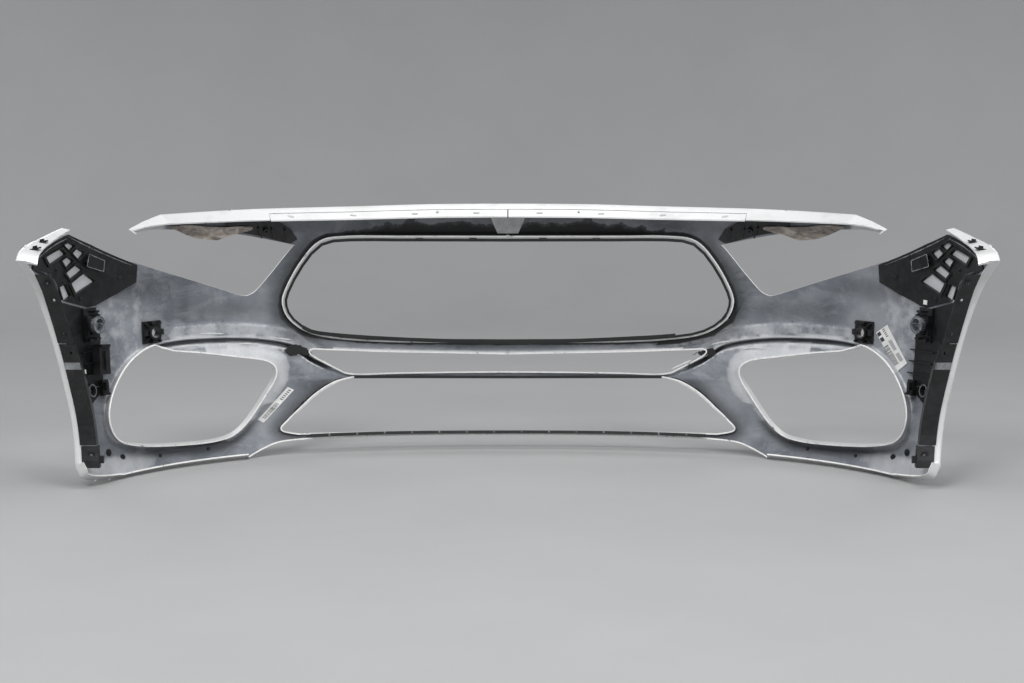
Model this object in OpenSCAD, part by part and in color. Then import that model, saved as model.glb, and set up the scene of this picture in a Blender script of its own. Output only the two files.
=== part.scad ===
// Front bumper cover of a passenger car, with its brackets, sensor holders, trims and labels.
// +X is the vehicle's right, +Y is forward and +Z is up. The origin is at the middle of the
// cover's footprint, on the ground line that the lower edges stand on.

/* [Overall size] */
// Width over the two wheel-arch ends
cover_w = 1850; // [1750:10:1900]
// Front of the nose, measured forward of the origin
nose_y = 310; // [290:5:330]
// Height of the hood-side crest at the centre
crest_z = 541; // [530:1:550]
// Wall thickness of the moulded skin
wall_t = 3; // [2.5:0.25:3.5]

/* [Body surface] */
// Height at which the cover is widest
widest_z = 465; // [440:5:490]
// How far each side tucks in from its widest point down to the ground line
side_tuck = 57; // [40:1:70]
// Height of the foremost point of the nose
nose_z = 238; // [220:1:250]
// How far the crest lies behind the nose
top_rake = 102; // [90:1:110]
// How far the bottom edge lies behind the nose
chin_rake = 35; // [25:1:45]
// Depth behind the origin at which the plan curve would run straight back
plan_rear = 330; // [320:5:340]

/* [Flanges] */
// Width of the return flange behind the crest
top_flange_w = 41; // [34:1:46]
// Part of that width left to the cover where the slotted rails continue it
crest_lip_w = 19; // [16:1:22]
// Width of the lip along the wheel arch
arch_lip_w = 20; // [16:1:24]
// Width left at the tips, where the flange tapers
tip_flange_w = 10; // [8:1:14]
// Depth of the flange round each side intake
intake_flange_d = 33; // [20:1:36]
// Depth of the flange round the grille opening and along the two bars
bar_flange_d = 13; // [10:1:16]
// Width of the fender flange at its rear end
wing_flange_w = 42; // [40:1:50]

/* [Upper rails] */
// Length of each slotted rail from the centre seam
rail_l = 504; // [500:1:550]
// Spacing of the rail's slots
slot_pitch = 131; // [125:1:135]
// Half of the gap at the centre seam
seam_gap = 1.2; // [0.5:0.1:2]

/* [Brackets and sensors] */
// Gap between the outer surface and the back of a bracket plate
bracket_gap = 4; // [3.8:0.1:5]
// Thickness of bracket plates
plate_t = 2.6; // [2:0.1:3]
// Radius of the screw holes in the arch rail, tongue and foot
screw_r = 3.2; // [2.5:0.1:3.5]
// Inner radius of a parking sensor holder
sensor_r = 11; // [9:0.5:12]
// Inner radius of a side sensor collar
collar_r = 12; // [10:0.5:13]

/* [Hidden] */
half_w = cover_w / 2;
far = 1000;
eps_p = 0.002;
grid_across = 50;
grid_up = 12;
// How deep the root of a flange lies inside the wall that it grows from, and how far it lies
// back from the edge
root_depth = 1.7;
root_inset = 0.5;
$fn = 40;

black = [0.05, 0.05, 0.055];
primer = [0.45, 0.47, 0.5];
white = [0.93, 0.93, 0.92];

// ---- Outlines, as the control points of smooth curves ----

// Crest, seen from the front: [x, z] from the centre to the tip
crest_line = [[0, crest_z], [165, crest_z - 1], [333, crest_z - 5], [538, crest_z - 8],
    [711, crest_z - 14]];
tip_line = [[711, crest_z - 14], [741, 515], [770, 499]];
strip_edge = [[762, 491], [721, 496], [639, 490], [584, 483], [521, 470], [452, 453]];
headlamp_edge = [[458, 449], [480, 423], [500, 398], [528, 365], [541, 352], [556, 345],
    [569, 347], [593, 356], [632, 372], [678, 391], [723, 410], [763, 428], [820, 454],
    [869, 497]];
bottom_edge = [[556, 0], [524, 16], [490, 27], [430, 30]];

grille_half = [[0, 470], [231, 471], [340, 472], [400, 462], [444, 414], [477, 354],
    [482, 322], [467, 290], [428, 262], [364, 247], [235, 237], [0, 234]];
slot_half = [[0, 205], [236, 211], [379, 219], [424, 222], [423, 211], [374, 182], [336, 168],
    [236, 168], [0, 169]];
lower_end = [[338, 158], [376, 149], [414, 127], [449, 96], [474, 72], [487, 54], [452, 44]];
intake_loop = [[741, 252], [779, 229], [805, 184], [815, 130], [802, 83], [768, 62],
    [704, 50], [624, 48], [577, 67], [530, 132], [507, 176], [524, 200], [590, 214],
    [655, 227], [710, 237]];

// Wheel arch, seen from the side: [y, z] from the fender joint down to the bottom edge
arch_line = [[-310, 461], [-241, 407], [-201, 340], [-180, 277], [-168, 216], [-160, 154],
    [-162, 101], [-174, 46]];
tuck_line = [[-168, 20], [-120, 7], [-60, 0]];
// Fender joint edge, [y, z] from front to rear
fender_line = [[-130, 511], [-193, 496], [-236, 489], [-287, 477], [-310, 461]];

// Corner bracket plate and its windows, seen from the side: [y, z]
corner_outline = [[-118, 497], [-62, 473], [36, 424], [38, 388], [-1, 367], [-49, 349],
    [-64, 348], [-150, 372], [-176, 404], [-204, 426], [-238, 440], [-216, 461], [-162, 482]];
corner_windows = [
    [[-185, 457], [-140, 469], [-127, 459], [-174, 443]],
    [[-129, 477], [-119, 480], [-104, 473], [-114, 465]],
    [[-105, 459], [-95, 467], [-78, 457], [-90, 446]],
    [[-134, 446], [-120, 452], [-106, 443], [-123, 432]],
    [[-124, 421], [-98, 434], [-82, 424], [-113, 409]],
    [[-111, 399], [-76, 416], [-52, 398], [-100, 379]],
    [[-148, 395], [-130, 399], [-118, 376], [-139, 368]]];
carrier_outline = [[-142, 365], [-66, 343], [-44, 338], [-42, 300], [-46, 262], [-50, 205],
    [-60, 176], [-92, 156], [-120, 172], [-120, 240], [-140, 290]];
// Places on the side, [y, z]
side_sensor_at = [-66, 312];
carrier_ring_at = [-90, 182];
// Place of the front sensor, [x, z]
front_sensor_at = [741, 282];

// ---- The body surface ----

function width_at(z) = half_w - side_tuck * pow(max(0, 1 - z / widest_z), 1.2);
function nose_at(z) = z > nose_z
    ? nose_y - top_rake * pow((z - nose_z) / (crest_z - nose_z), 2)
    : nose_y - chin_rake * pow((nose_z - z) / nose_z, 2);
function sweep_angle(p) = 90 * pow(abs(p), 1.25);

// A point of the outer surface: p runs from -1 at the left arch to 1 at the right arch
function outer(p, z) = [
    width_at(z) * sign(p) * pow(sin(sweep_angle(p)), 0.8),
    -plan_rear + (nose_at(z) + plan_rear) * cos(sweep_angle(p)),
    z];

// p of the surface point with a given x, or a given y, at height z
function p_of_x(x, z) = sign(x) * pow(asin(min(1, pow(abs(x) / width_at(z), 1.25))) / 90, 0.8);
function p_of_y(y, z) = pow(acos((y + plan_rear) / (nose_at(z) + plan_rear)) / 90, 0.8);

function unit(v) = v / norm(v);
function across(p, z) = unit(outer(p + eps_p, z) - outer(p - eps_p, z));
function inward(p, z) = unit(cross(across(p, z), outer(p, z + 1) - outer(p, z - 1)));
function skin(p, z, depth) = outer(p, z) + depth * inward(p, z);
function skin_x(xz, depth) = skin(p_of_x(xz[0], xz[1]), xz[1], depth);
function skin_y(yz, depth) = skin(p_of_y(yz[0], yz[1]), yz[1], depth);

// Direction in which the crest's return flange runs, from its point [x, z]
function fall_at(xz) = unit(inward(p_of_x(xz[0], xz[1]), xz[1]) + [0, 0, -0.1]);

// ---- Curves ----

function blend(a, b, c, d, t) = 0.5 * (2 * b + (c - a) * t + (2 * a - 5 * b + 4 * c - d) * t * t
    + (3 * b - a - 3 * c + d) * t * t * t);
// Smooth curve through the given points, which ends at the last one
function smooth(pts, steps) = let (n = len(pts)) concat(
    [for (i = [0:n - 2], k = [0:steps - 1])
        blend(pts[max(0, i - 1)], pts[i], pts[i + 1], pts[min(n - 1, i + 2)], k / steps)],
    [pts[n - 1]]);
// Smooth closed curve through the given points
function smooth_loop(pts, steps) = let (n = len(pts))
    [for (i = [0:n - 1], k = [0:steps - 1])
        blend(pts[(i + n - 1) % n], pts[i], pts[(i + 1) % n], pts[(i + 2) % n], k / steps)];
function reversed(pts) = [for (i = [len(pts) - 1:-1:0]) pts[i]];
function mirrored(pts) = [for (q = reversed(pts)) [-q[0], q[1]]];
function centre_of(pts) = [for (i = [0:len(pts[0]) - 1]) 1 / len(pts) * [for (q = pts) q[i]]
    * [for (q = pts) 1]];
// A closed outline, and an open line from left to right, of which the right half is given
function both_sides(half) = concat(half, [for (q = mirrored(half)) if (q[0] < -0.01) q]);
function left_to_right(half) = concat([for (q = mirrored(half)) if (q[0] < -0.01) q], half);
// Height of the arch line is its parameter: y of the arch edge at height z
function arch_y(z) = lookup(z, [for (q = smooth(arch_line, 4)) [q[1], q[0]]]);
function arch_edge(z) = skin_y([arch_y(z), z], 0);

// Closed outline with extra points, so that no step along it is longer than outline_step
outline_step = 45;
function dense(pts) = let (n = len(pts)) [for (i = [0:n - 1])
    let (a = pts[i], b = pts[(i + 1) % n], k = ceil(norm(b - a) / outline_step))
        for (j = [0:k - 1]) a + (b - a) * j / k];

grille_outline = dense(both_sides(smooth(grille_half, 2)));
slot_outline = dense(both_sides(smooth(slot_half, 2)));
lower_outline = dense(both_sides(concat([[0, 154]], smooth(lower_end, 2), [[235, 40], [0, 40]])));
intake_outline = smooth_loop(intake_loop, 2);
crest_curve = smooth(crest_line, 3);

// ---- Solids ----

// Prisms that run right through the cover, from an [x, z] or a [y, z] outline
module along_y() rotate([90, 0, 0]) linear_extrude(height = 2 * far, center = true) children();
module along_x() rotate([90, 0, 90]) linear_extrude(height = 2 * far) children();

// Closed solid through a row of equal sections; a ring joins its last section to its first
module swept(sections, ring = false) {
    s = sections;
    n = len(s);
    m = len(s[0]);
    turn = cross(s[0][1] - s[0][0], s[0][2] - s[0][1]) * (s[1][0] - s[0][0]);
    rows = turn > 0 ? s : [for (q = s) reversed(q)];
    last = ring ? n - 1 : n - 2;
    sides = [for (i = [0:last], k = [0:m - 1]) let (
        a = i * m + k,
        b = (i + 1) % n * m + k,
        c = (i + 1) % n * m + (k + 1) % m,
        d = i * m + (k + 1) % m) each [[a, b, c], [a, c, d]]];
    caps = ring ? [] : [for (k = [1:m - 2])
        each [[0, k, k + 1], [(n - 1) * m, (n - 1) * m + k + 1, (n - 1) * m + k]]];
    polyhedron([for (q = rows) each q], concat(sides, caps));
}

// Flat strip between two curves, thickened along a direction given for each station
module ribbon(a, b, thick, ring = false) swept(
    [for (i = [0:len(a) - 1]) [a[i], b[i], b[i] + thick[i], a[i] + thick[i]]], ring);

// Curved plate that follows the surface between two depths
module sheet(p0, p1, z0, z1, d0, d1, np, nz) {
    w = nz + 1;
    function at(i, j, d) = skin(p0 + (p1 - p0) * i / np, z0 + (z1 - z0) * j / nz, d);
    pts = [for (d = [d0, d1], i = [0:np], j = [0:nz]) at(i, j, d)];
    n = (np + 1) * w;
    faces = [for (i = [0:np - 1], j = [0:nz - 1]) let (
        a = i * w + j, b = a + w, c = b + 1, d = a + 1)
        each [[a, b, c], [a, c, d], [n + a, n + c, n + b], [n + a, n + d, n + c]]];
    ends = [for (j = [0:nz - 1]) let (a = j, d = j + 1, b = np * w + j, c = b + 1)
        each [[a, d, n + d], [a, n + d, n + a], [c, b, n + b], [c, n + b, n + c]]];
    rims = [for (i = [0:np - 1]) let (a = i * w, b = a + w, d = a + nz, c = b + nz)
        each [[b, a, n + a], [b, n + a, n + b], [d, c, n + c], [d, n + c, n + d]]];
    polyhedron(pts, concat(faces, ends, rims));
}

// Plate on the inside of the right-hand surface, cut to a [y, z] outline
module side_plate(outline, d0, d1, np = 8, nz = 6) {
    ys = [for (q = outline) q[0]];
    zs = [for (q = outline) q[1]];
    mid_z = (min(zs) + max(zs)) / 2;
    intersection() {
        sheet(p_of_y(max(ys) + 12, mid_z), min(0.99, p_of_y(min(ys) - 12, mid_z)),
            min(zs) - 4, max(zs) + 4, d0, d1, np, nz);
        along_x() polygon(outline);
    }
}

// Plate on the inside of the surface, cut to an [x, z] outline
module front_plate(outline, d0, d1, np = 8, nz = 4) {
    xs = [for (q = outline) q[0]];
    zs = [for (q = outline) q[1]];
    mid_z = (min(zs) + max(zs)) / 2;
    intersection() {
        sheet(p_of_x(min(xs) - 12, mid_z), p_of_x(max(xs) + 12, mid_z),
            min(zs) - 4, max(zs) + 4, d0, d1, np, nz);
        along_y() polygon(outline);
    }
}

// Bar of rectangular section that follows the right-hand arch edge: inset towards the middle
// of the car from in0 to in1, and forward of the edge from f0 to f1. It may lean inward by a
// distance that grows towards its top
module arch_bar(z0, z1, in0, in1, f0, f1, steps, lean = 0) swept([for (i = [0:steps]) let (
    e = arch_edge(z0 + (z1 - z0) * i / steps) - [lean * pow(i / steps, 2), 0, 0])
    [e + [-in0, f0, 0], e + [-in1, f0, 0], e + [-in1, f1, 0], e + [-in0, f1, 0]]]);

// Puts its children on the surface: X runs across, Y up and Z inward, off the inner face
module on_skin(p, z, depth) {
    x = across(p, z);
    n = inward(p, z);
    y = cross(n, x);
    o = skin(p, z, depth);
    multmatrix([[x[0], y[0], n[0], o[0]], [x[1], y[1], n[1], o[1]], [x[2], y[2], n[2], o[2]],
        [0, 0, 0, 1]]) children();
}
module at_y(yz, depth) on_skin(p_of_y(yz[0], yz[1]), yz[1], depth) children();
module at_x(xz, depth) on_skin(p_of_x(xz[0], xz[1]), xz[1], depth) children();

// Puts its children on a hole along Y, near the right-hand arch edge
module on_arch(inset, z, forward) translate(arch_edge(z) + [-inset, forward, 0])
    rotate([-90, 0, 0]) children();

module left() mirror([1, 0, 0]) children();
module block(size, at = [0, 0, 0]) translate(at) translate([-size[0] / 2, -size[1] / 2, 0])
    cube(size);
module tube(r_out, r_in, h) difference() {
    cylinder(r = r_out, h = h);
    translate([0, 0, -1]) cylinder(r = r_in, h = h + 2);
}
module rounded_slot(l, w, h) translate([0, 0, -h / 2]) hull()
    for (s = [-1, 1]) translate([s * (l - w) / 2, 0, 0]) cylinder(r = w / 2, h = h, $fn = 14);

// ---- Cover skin ----

skin_outline = concat(crest_curve, tip_line, strip_edge, headlamp_edge, [[882, 560], [far, 560],
    [far, 0]], bottom_edge, [[0, 31]]);
side_outline = concat([[far, 0], [far, 560], [-116, 560], [-116, 514]], fender_line,
    smooth(arch_line, 4), tuck_line);

module skin_shell() difference() {
    intersection() {
        sheet(-0.995, 0.995, -2, 548, 0, wall_t, grid_across, grid_up);
        along_y() polygon(both_sides(skin_outline));
        rotate([90, 0, 90]) linear_extrude(height = 2 * far, center = true)
            polygon(side_outline);
    }
    along_y() polygon(grille_outline);
    along_y() polygon(slot_outline);
    along_y() polygon(lower_outline);
    along_y() polygon(intake_outline);
    along_y() polygon(mirrored(intake_outline));
}

// Direction away from a clockwise [x, z] outline at each of its points
function edge_out(pts) = let (n = len(pts)) [for (i = [0:n - 1])
    let (t = pts[(i + 1) % n] - pts[(i + n - 1) % n]) unit([-t[1], 0, t[0]])];

// Direction in which the flange round an opening runs, from its point [x, z]
function flange_dir(xz) = unit(inward(p_of_x(xz[0], xz[1]), xz[1]) + [0, -0.8, 0]);

// Ring that runs inward from an opening's edge: root and depth are measured along the flange,
// set_out is the distance from the opening's outline and draft is how far the flange leans out
module edge_ring(outline, root, depth, set_out, thick, draft = 0) {
    out = edge_out(outline);
    foot = [for (i = [0:len(out) - 1]) outline[i] + set_out * [out[i][0], out[i][2]]];
    a = [for (q = foot) skin_x(q, root)];
    b = [for (i = [0:len(a) - 1]) a[i] + depth * flange_dir(foot[i]) + draft * out[i]];
    ribbon(a, b, thick * out, true);
}
module edge_flange(outline, depth, draft)
    edge_ring(outline, root_depth, depth - root_depth, root_inset, wall_t, draft);

// Return flange behind the crest: narrow where the rails continue it, and tapered at the tips
rail_end_z = lookup(rail_l, crest_curve);
crest_half = concat([for (q = crest_curve) if (q[0] < rail_l - 2) q],
    [[rail_l, rail_end_z], [rail_l + 1.5, rail_end_z]],
    [for (q = crest_curve) if (q[0] > rail_l + 2 && q[0] < tip_line[0][0] - 1) q], tip_line);
function crest_width(x) = x <= rail_l ? crest_lip_w
    : lookup(x, [[tip_line[0][0], top_flange_w], [tip_line[2][0], tip_flange_w]]);
module crest_flange() {
    line = left_to_right(crest_half);
    a = [for (q = line) skin_x(q - [0, root_inset], root_depth)];
    b = [for (i = [0:len(line) - 1])
        a[i] + (crest_width(abs(line[i][0])) - root_depth) * fall_at(line[i])];
    ribbon(a, b, [for (q = line) [0, 0, -wall_t]]);
}

// Flange that carries the fender joint, wide at the rear and narrow at the front
wing_front_w = 18;
wing_fall = [-0.9, 0.1, -0.2];
module wing_flange() {
    line = smooth(fender_line, 2);
    n = len(line) - 1;
    a = [for (q = line) skin_y(q - [0, root_inset], root_depth)];
    b = [for (i = [0:n]) a[i] + (wing_front_w + (wing_flange_w - wing_front_w) * i / n) * wing_fall];
    ribbon(a, b, [for (i = [0:n]) [0, 0, -wall_t]]);
}

module arch_lip() arch_bar(22, 455, root_depth, arch_lip_w, root_inset, wall_t + root_inset, 14);

// Turned-in flange along the bottom edge of the side section
module bottom_flange() {
    line = [for (x = [560:30:800]) [x, 0]];
    a = [for (q = line) skin_x(q + [0, root_inset], root_depth)];
    b = [for (q = a) q + 22 * unit([-0.5, -0.9, 0.32])];
    ribbon(a, b, [for (q = line) [0, 0, wall_t]]);
}

module side_flanges() {
    wing_flange();
    arch_lip();
    bottom_flange();
    edge_flange(intake_outline, intake_flange_d, 8);
}

module skin_flanges() {
    side_flanges();
    left() side_flanges();
    crest_flange();
    edge_flange(grille_outline, bar_flange_d, 2);
    edge_flange(slot_outline, bar_flange_d, 0);
    edge_flange(lower_outline, bar_flange_d, 0);
}

// Holes and slots of the right-hand side
module side_holes() {
    translate([741, 60, 505]) cylinder(r = 4, h = 40, center = true, $fn = 16);
    at_x(front_sensor_at, 0) cylinder(r = sensor_r + 0.6, h = 20, center = true, $fn = 24);
    at_y(side_sensor_at, 0) cylinder(r = collar_r + 0.6, h = 20, center = true, $fn = 24);
    for (q = [[886, -190, 485], [890, -238, 478], [892, -284, 466]])
        translate(q) rotate([0, 0, 70]) rounded_slot(18, 6, 30);
    for (x = [722, 755])
        translate(skin_x([x, lookup(x, tip_line)], 14)) rounded_slot(7, 3, 40);
}

module cover_skin() difference() {
    union() {
        skin_shell();
        skin_flanges();
    }
    side_holes();
    left() side_holes();
}

// Zones of the one moulded skin, which meet face to face: bars and crest across the middle, and
// pillar, shoulder, fender side, corner and foot on each side
bar_x = 433;
shoulder_x = 560;
tip_x = 780;
crest_from = 440;
pillar_from = 224;
shoulder_from = 200;
bar_split = 185;
bar_low = 100;
bar_top = 380;
fender_y = -100;
roof = 600;
module zone(x0, x1, z0, z1, y0 = -far, y1 = far) translate([x0, y0, z0])
    cube([x1 - x0, y1 - y0, z1 - z0]);
module skin_zone() color(primer) intersection() {
    cover_skin();
    children();
}
module skin_crest() skin_zone() zone(-tip_x, tip_x, crest_from, roof);
module skin_pillar() skin_zone() union() {
    zone(bar_x, shoulder_x, pillar_from, crest_from);
    zone(0, bar_x + 1, bar_top, crest_from);
}
module skin_shoulder() skin_zone() union() {
    zone(shoulder_x, far, shoulder_from, crest_from, fender_y);
    zone(tip_x, far, crest_from - 1, roof, fender_y);
}
module skin_fender() skin_zone() zone(shoulder_x, far, shoulder_from, roof, -far, fender_y);
module skin_corner() skin_zone() zone(bar_x, shoulder_x, -1, pillar_from);
module skin_foot() skin_zone() zone(shoulder_x, far, -1, shoulder_from);
module skin_bar_upper() skin_zone() zone(-bar_x, bar_x, bar_split, bar_top);
module skin_bar_middle() skin_zone() zone(-bar_x, bar_x, bar_low, bar_split);
module skin_bar_lower() skin_zone() zone(-bar_x, bar_x, -1, bar_low);

// ---- Slotted rails behind the crest ----

// Frame of the rail: a point on the return flange at a distance behind the crest
function rail_point(x, back) = let (q = [x, lookup(x, crest_curve)])
    skin_x(q - [0, root_inset], root_depth) + (back - root_depth) * fall_at(q);

module upper_rail() color(white) difference() {
    xs = [for (i = [0:12]) seam_gap + (rail_l - 0.8 - seam_gap) * i / 12];
    ribbon([for (x = xs) rail_point(x, crest_lip_w + 1.6)],
        [for (x = xs) rail_point(x, top_flange_w)], [for (x = xs) [0, 0, -wall_t]]);
    for (i = [0:3]) translate(rail_point(67 + i * slot_pitch, 31)) rounded_slot(14, 4.5, 20);
    translate(rail_point(150, 27)) cylinder(r = 3, h = 20, center = true);
}

// ---- Headlamp bracket and shield ----

lamp_outline = [[446, 464], [462, 455], [521, 474], [586, 488], [588, 503], [540, 509],
    [488, 505], [458, 486]];
lamp_screw = [511, 489];
lamp_boss_r = 6;
module headlamp_bracket() color(black) difference() {
    union() {
        front_plate(lamp_outline, bracket_gap, bracket_gap + plate_t);
        for (x = [470, 497, 524])
            at_x([x, 484 + (x - 510) * 0.12], bracket_gap + 1) rotate([0, 0, 70])
                block([26, 3, 9]);
        at_x(lamp_screw, bracket_gap) cylinder(r = lamp_boss_r, h = 10);
    }
    at_x(lamp_screw, -10) cylinder(r = 2.2, h = 60);
}

shield_outline = [[700, 503], [655, 478], [614, 471], [580, 481], [540, 491], [546, 499],
    [610, 499], [660, 505]];
shield_d = bracket_gap + plate_t + 0.5;
module headlamp_shield() color([0.36, 0.31, 0.28]) union() {
    front_plate(shield_outline, shield_d, shield_d + 2);
    at_x([620, 484], shield_d + 1) block([14, 5, 4]);
}

// ---- Corner bracket ----

// How far the ribs round the windows stand off the back of the plate
rib_rise = 5.5;
module window_prism(pts, grow) along_x() hull() for (q = pts)
    translate(centre_of(pts) + grow * (q - centre_of(pts))) circle(r = 1.5, $fn = 16);
module corner_bracket() color(black) difference() {
    union() {
        side_plate(corner_outline, bracket_gap, bracket_gap + plate_t, 12, 8);
        intersection() {
            side_plate(corner_outline, bracket_gap + 1, bracket_gap + rib_rise, 12, 8);
            for (w = corner_windows) window_prism(w, 1.3);
        }
    }
    for (w = corner_windows) window_prism(w, 1);
}

// ---- Arch rail, channel and foot ----

rail_back = -3.4;
rail_z0 = 290;
rail_z1 = 432;
rail_lean = 9;
rail_hole_in = 30;
// Screw bosses of the rail: [height, how far the boss stands out behind the sloping plate]
rail_bosses = [[414, 4.4], [378, 2.7], [308, 1.8]];
function boss_in(z) = rail_hole_in + rail_lean * pow((z - rail_z0) / (rail_z1 - rail_z0), 2);
module arch_rail() color(black) difference() {
    union() {
        arch_bar(rail_z0, rail_z1, 13, 40, rail_back, rail_back + 3, 8, rail_lean);
        arch_bar(rail_z0, rail_z1, 38, 41, rail_back, rail_back + 14, 8, rail_lean);
        for (b = rail_bosses)
            on_arch(boss_in(b[0]), b[0], rail_back - b[1]) cylinder(r = 6, h = 8 + b[1]);
    }
    for (b = rail_bosses)
        on_arch(boss_in(b[0]), b[0], rail_back - 15) cylinder(r = screw_r, h = 40);
}

module arch_channel() color(black) difference() {
    union() {
        arch_bar(250, 288, 14, 47, rail_back, rail_back + 3, 3);
        arch_bar(234, 252, 14, 46, rail_back, rail_back + 18, 2);
        arch_bar(86, 236, 14, 47, rail_back, rail_back + 3, 8);
        arch_bar(86, 236, 14, 17, rail_back, rail_back + 18, 8);
        arch_bar(86, 236, 44, 47, rail_back, rail_back + 18, 8);
        for (z = [88, 124, 161, 198]) arch_bar(z, z + 3, 15, 46, rail_back, rail_back + 18, 1);
        on_arch(33, 270, rail_back) cylinder(r = 8, h = 9);
    }
    on_arch(33, 270, rail_back - 5) cylinder(r = screw_r, h = 30);
}

module arch_foot() color(black) difference() {
    union() {
        arch_bar(42, 84, 16, 50, rail_back, rail_back + 3, 3);
        arch_bar(42, 84, 47, 50, rail_back, rail_back + 16, 3);
        on_arch(35, 66, rail_back) cylinder(r = 8, h = 10);
        on_arch(54, 58, rail_back) block([10, 14, 8]);
    }
    on_arch(35, 66, rail_back - 5) cylinder(r = screw_r, h = 30);
}

// ---- Side carrier, sensors and clips ----

carrier_d = bracket_gap + 0.4;
module side_carrier() color(black) difference() {
    union() {
        side_plate(carrier_outline, carrier_d, carrier_d + plate_t, 10, 6);
        at_y(carrier_ring_at, carrier_d + 1) cylinder(r = 14, h = 9);
        for (z = [212, 236, 259]) at_y([-66, z], carrier_d + 1) block([70, 2.5, 8]);
    }
    at_y(carrier_ring_at, 0) cylinder(r = 9, h = 40);
    at_y(side_sensor_at, 0) cylinder(r = collar_r + 4.5, h = 40);
}

holder_d = carrier_d + plate_t + 1.6;
module side_sensor_holder() color(black) at_y(side_sensor_at, holder_d) difference() {
    union() {
        block([40, 68, 3]);
        tube(collar_r + 8, collar_r + 4.2, 16);
        for (s = [-1, 1]) block([12, 4, 22], [0, s * 27, 0]);
        for (s = [-1, 1]) block([3, 40, 12], [s * 18.5, 0, 0]);
        block([16, 7, 12], [8, -29, 0]);
    }
    translate([0, 0, -5]) cylinder(r = collar_r + 4.2, h = 40);
}

collar_d = wall_t + 1.2;
module side_sensor_collar() color([0.55, 0.57, 0.6]) at_y(side_sensor_at, collar_d)
    difference() {
        union() {
            cylinder(r = collar_r + 3.8, h = 28);
            translate([0, 0, 26]) cylinder(r = collar_r + 6, h = 4);
        }
        translate([0, 0, -5]) cylinder(r = collar_r, h = 40);
    }

front_holder_d = bracket_gap + 1.2;
module front_sensor_holder() color(black) at_x(front_sensor_at, front_holder_d) difference() {
    union() {
        block([46, 46, 3]);
        cylinder(r = sensor_r + 4, h = 18);
        for (a = [0:90:270]) rotate([0, 0, a]) block([5, 12, 14], [19.5, 0, 0]);
        for (a = [45:90:315]) rotate([0, 0, a]) block([14, 2.5, 10], [21, 0, 0]);
    }
    translate([0, 0, -5]) cylinder(r = sensor_r, h = 40);
}

module intake_clip() color(black) at_y([-50, 184], holder_d) union() {
    block([18, 30, 8], [4, 0, 0]);
    block([8, 16, 16], [7, 2, 0]);
    block([20, 4, 12], [5, -14, 0]);
}

module cable_box() color(black) left() at_y([-62, 238], holder_d + 6) rotate([0, 0, 5]) union() {
    block([32, 54, 18]);
    block([24, 6, 24], [0, 30, 0]);
    block([10, 38, 22], [-3, 0, 0]);
}

// ---- Trims ----

module grille_rim_seal() color(black) union() {
    edge_ring(grille_outline, bar_flange_d + 1.4, 5, -5.5, 5);
    for (x = [-300, -190, -75, 75, 190, 300])
        translate(skin_x([x, 467], bar_flange_d + 3)) block([16, 8, 6], [0, 0, -1]);
}

// Strip behind the flange along the lower edge of the grille opening, cut short on the right
strip_line = smooth([[-448, 271], [-414, 256], [-307, 243], [-163, 234], [0, 230], [163, 234],
    [307, 243], [366, 249]], 3);
strip_d = bar_flange_d + 7.2;
module grille_lower_strip() color(black) ribbon([for (q = strip_line) skin_x(q, strip_d)],
    [for (q = strip_line) skin_x(q + [0, 8.5], strip_d)], [for (q = strip_line) [0, -2.4, 0]]);

module bar_trim(half_l, z, rise) {
    xs = [for (i = [0:16]) half_l * (i - 8) / 8];
    function bar_z(x) = z + rise * pow(abs(x) / half_l, 2);
    ribbon([for (x = xs) skin_x([x, bar_z(x)], bar_flange_d + 2)],
        [for (x = xs) skin_x([x, bar_z(x) + 6], bar_flange_d + 2)], [for (x = xs) [0, -4, 0]]);
}
module mid_bar_trim() color(black) bar_trim(336, 153, 4);
module lower_bar_trim() color(black) bar_trim(430, 33, 1);

module centre_pad() color([0.6, 0.61, 0.62])
    front_plate([[-36, 508], [36, 508], [30, 492], [22, 474], [-22, 474], [-30, 492]],
        bracket_gap - 0.4, bracket_gap + 1.6, 4, 3);

module seal_patch() color([0.12, 0.11, 0.1]) front_plate([[322, 229], [372, 234], [440, 252],
    [482, 284], [497, 322], [486, 296], [489, 322], [474, 288], [433, 259], [366, 243],
    [330, 240]], bracket_gap + 0.2, bracket_gap + 1.8, 6, 4);

// ---- Fasteners and labels ----

grommet_places = [[808, 53], [786, 37], [724, 27], [635, 27]];
module lower_grommets() color(black) for (q = grommet_places)
    at_x(q, wall_t + 0.6) union() {
        cylinder(r = 7, h = 2);
        cylinder(r1 = 5, r2 = 3.5, h = 5);
    }

label_d = wall_t + 1;
module label_plate(outline) color(white) front_plate(outline, label_d, label_d + 0.6, 5, 3);
module part_label_left() left() label_plate([[461, 137], [474, 144], [535, 79], [523, 71]]);
module part_label_right() label_plate([[757, 283], [776, 302], [808, 230], [793, 211]]);

module bracket_tag() block([11, 9, 0.8]);
module bracket_tag_left() color(white) left()
    at_y([-98, 221], carrier_d + plate_t + 0.4) bracket_tag();
module bracket_tag_right() color(white) at_y([-58, 357], bracket_gap + plate_t + 0.4)
    bracket_tag();

module fender_clips() color(black) for (q = [[893, -214, 488.5], [896, -262, 479]])
    translate(q) rotate([0, 12, 0]) union() {
        block([20, 13, 3]);
        block([8, 6, 7]);
    }

rivet_places = [[-150, 430], [-64, 440], [10, 402], [-84, 366]];
module bracket_rivets() color([0.25, 0.25, 0.26]) for (q = rivet_places)
    at_y(q, bracket_gap + plate_t + 0.2) union() {
        cylinder(r = 5, h = 1.2);
        cylinder(r1 = 3.4, r2 = 2.2, h = 2.8);
    }

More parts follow.
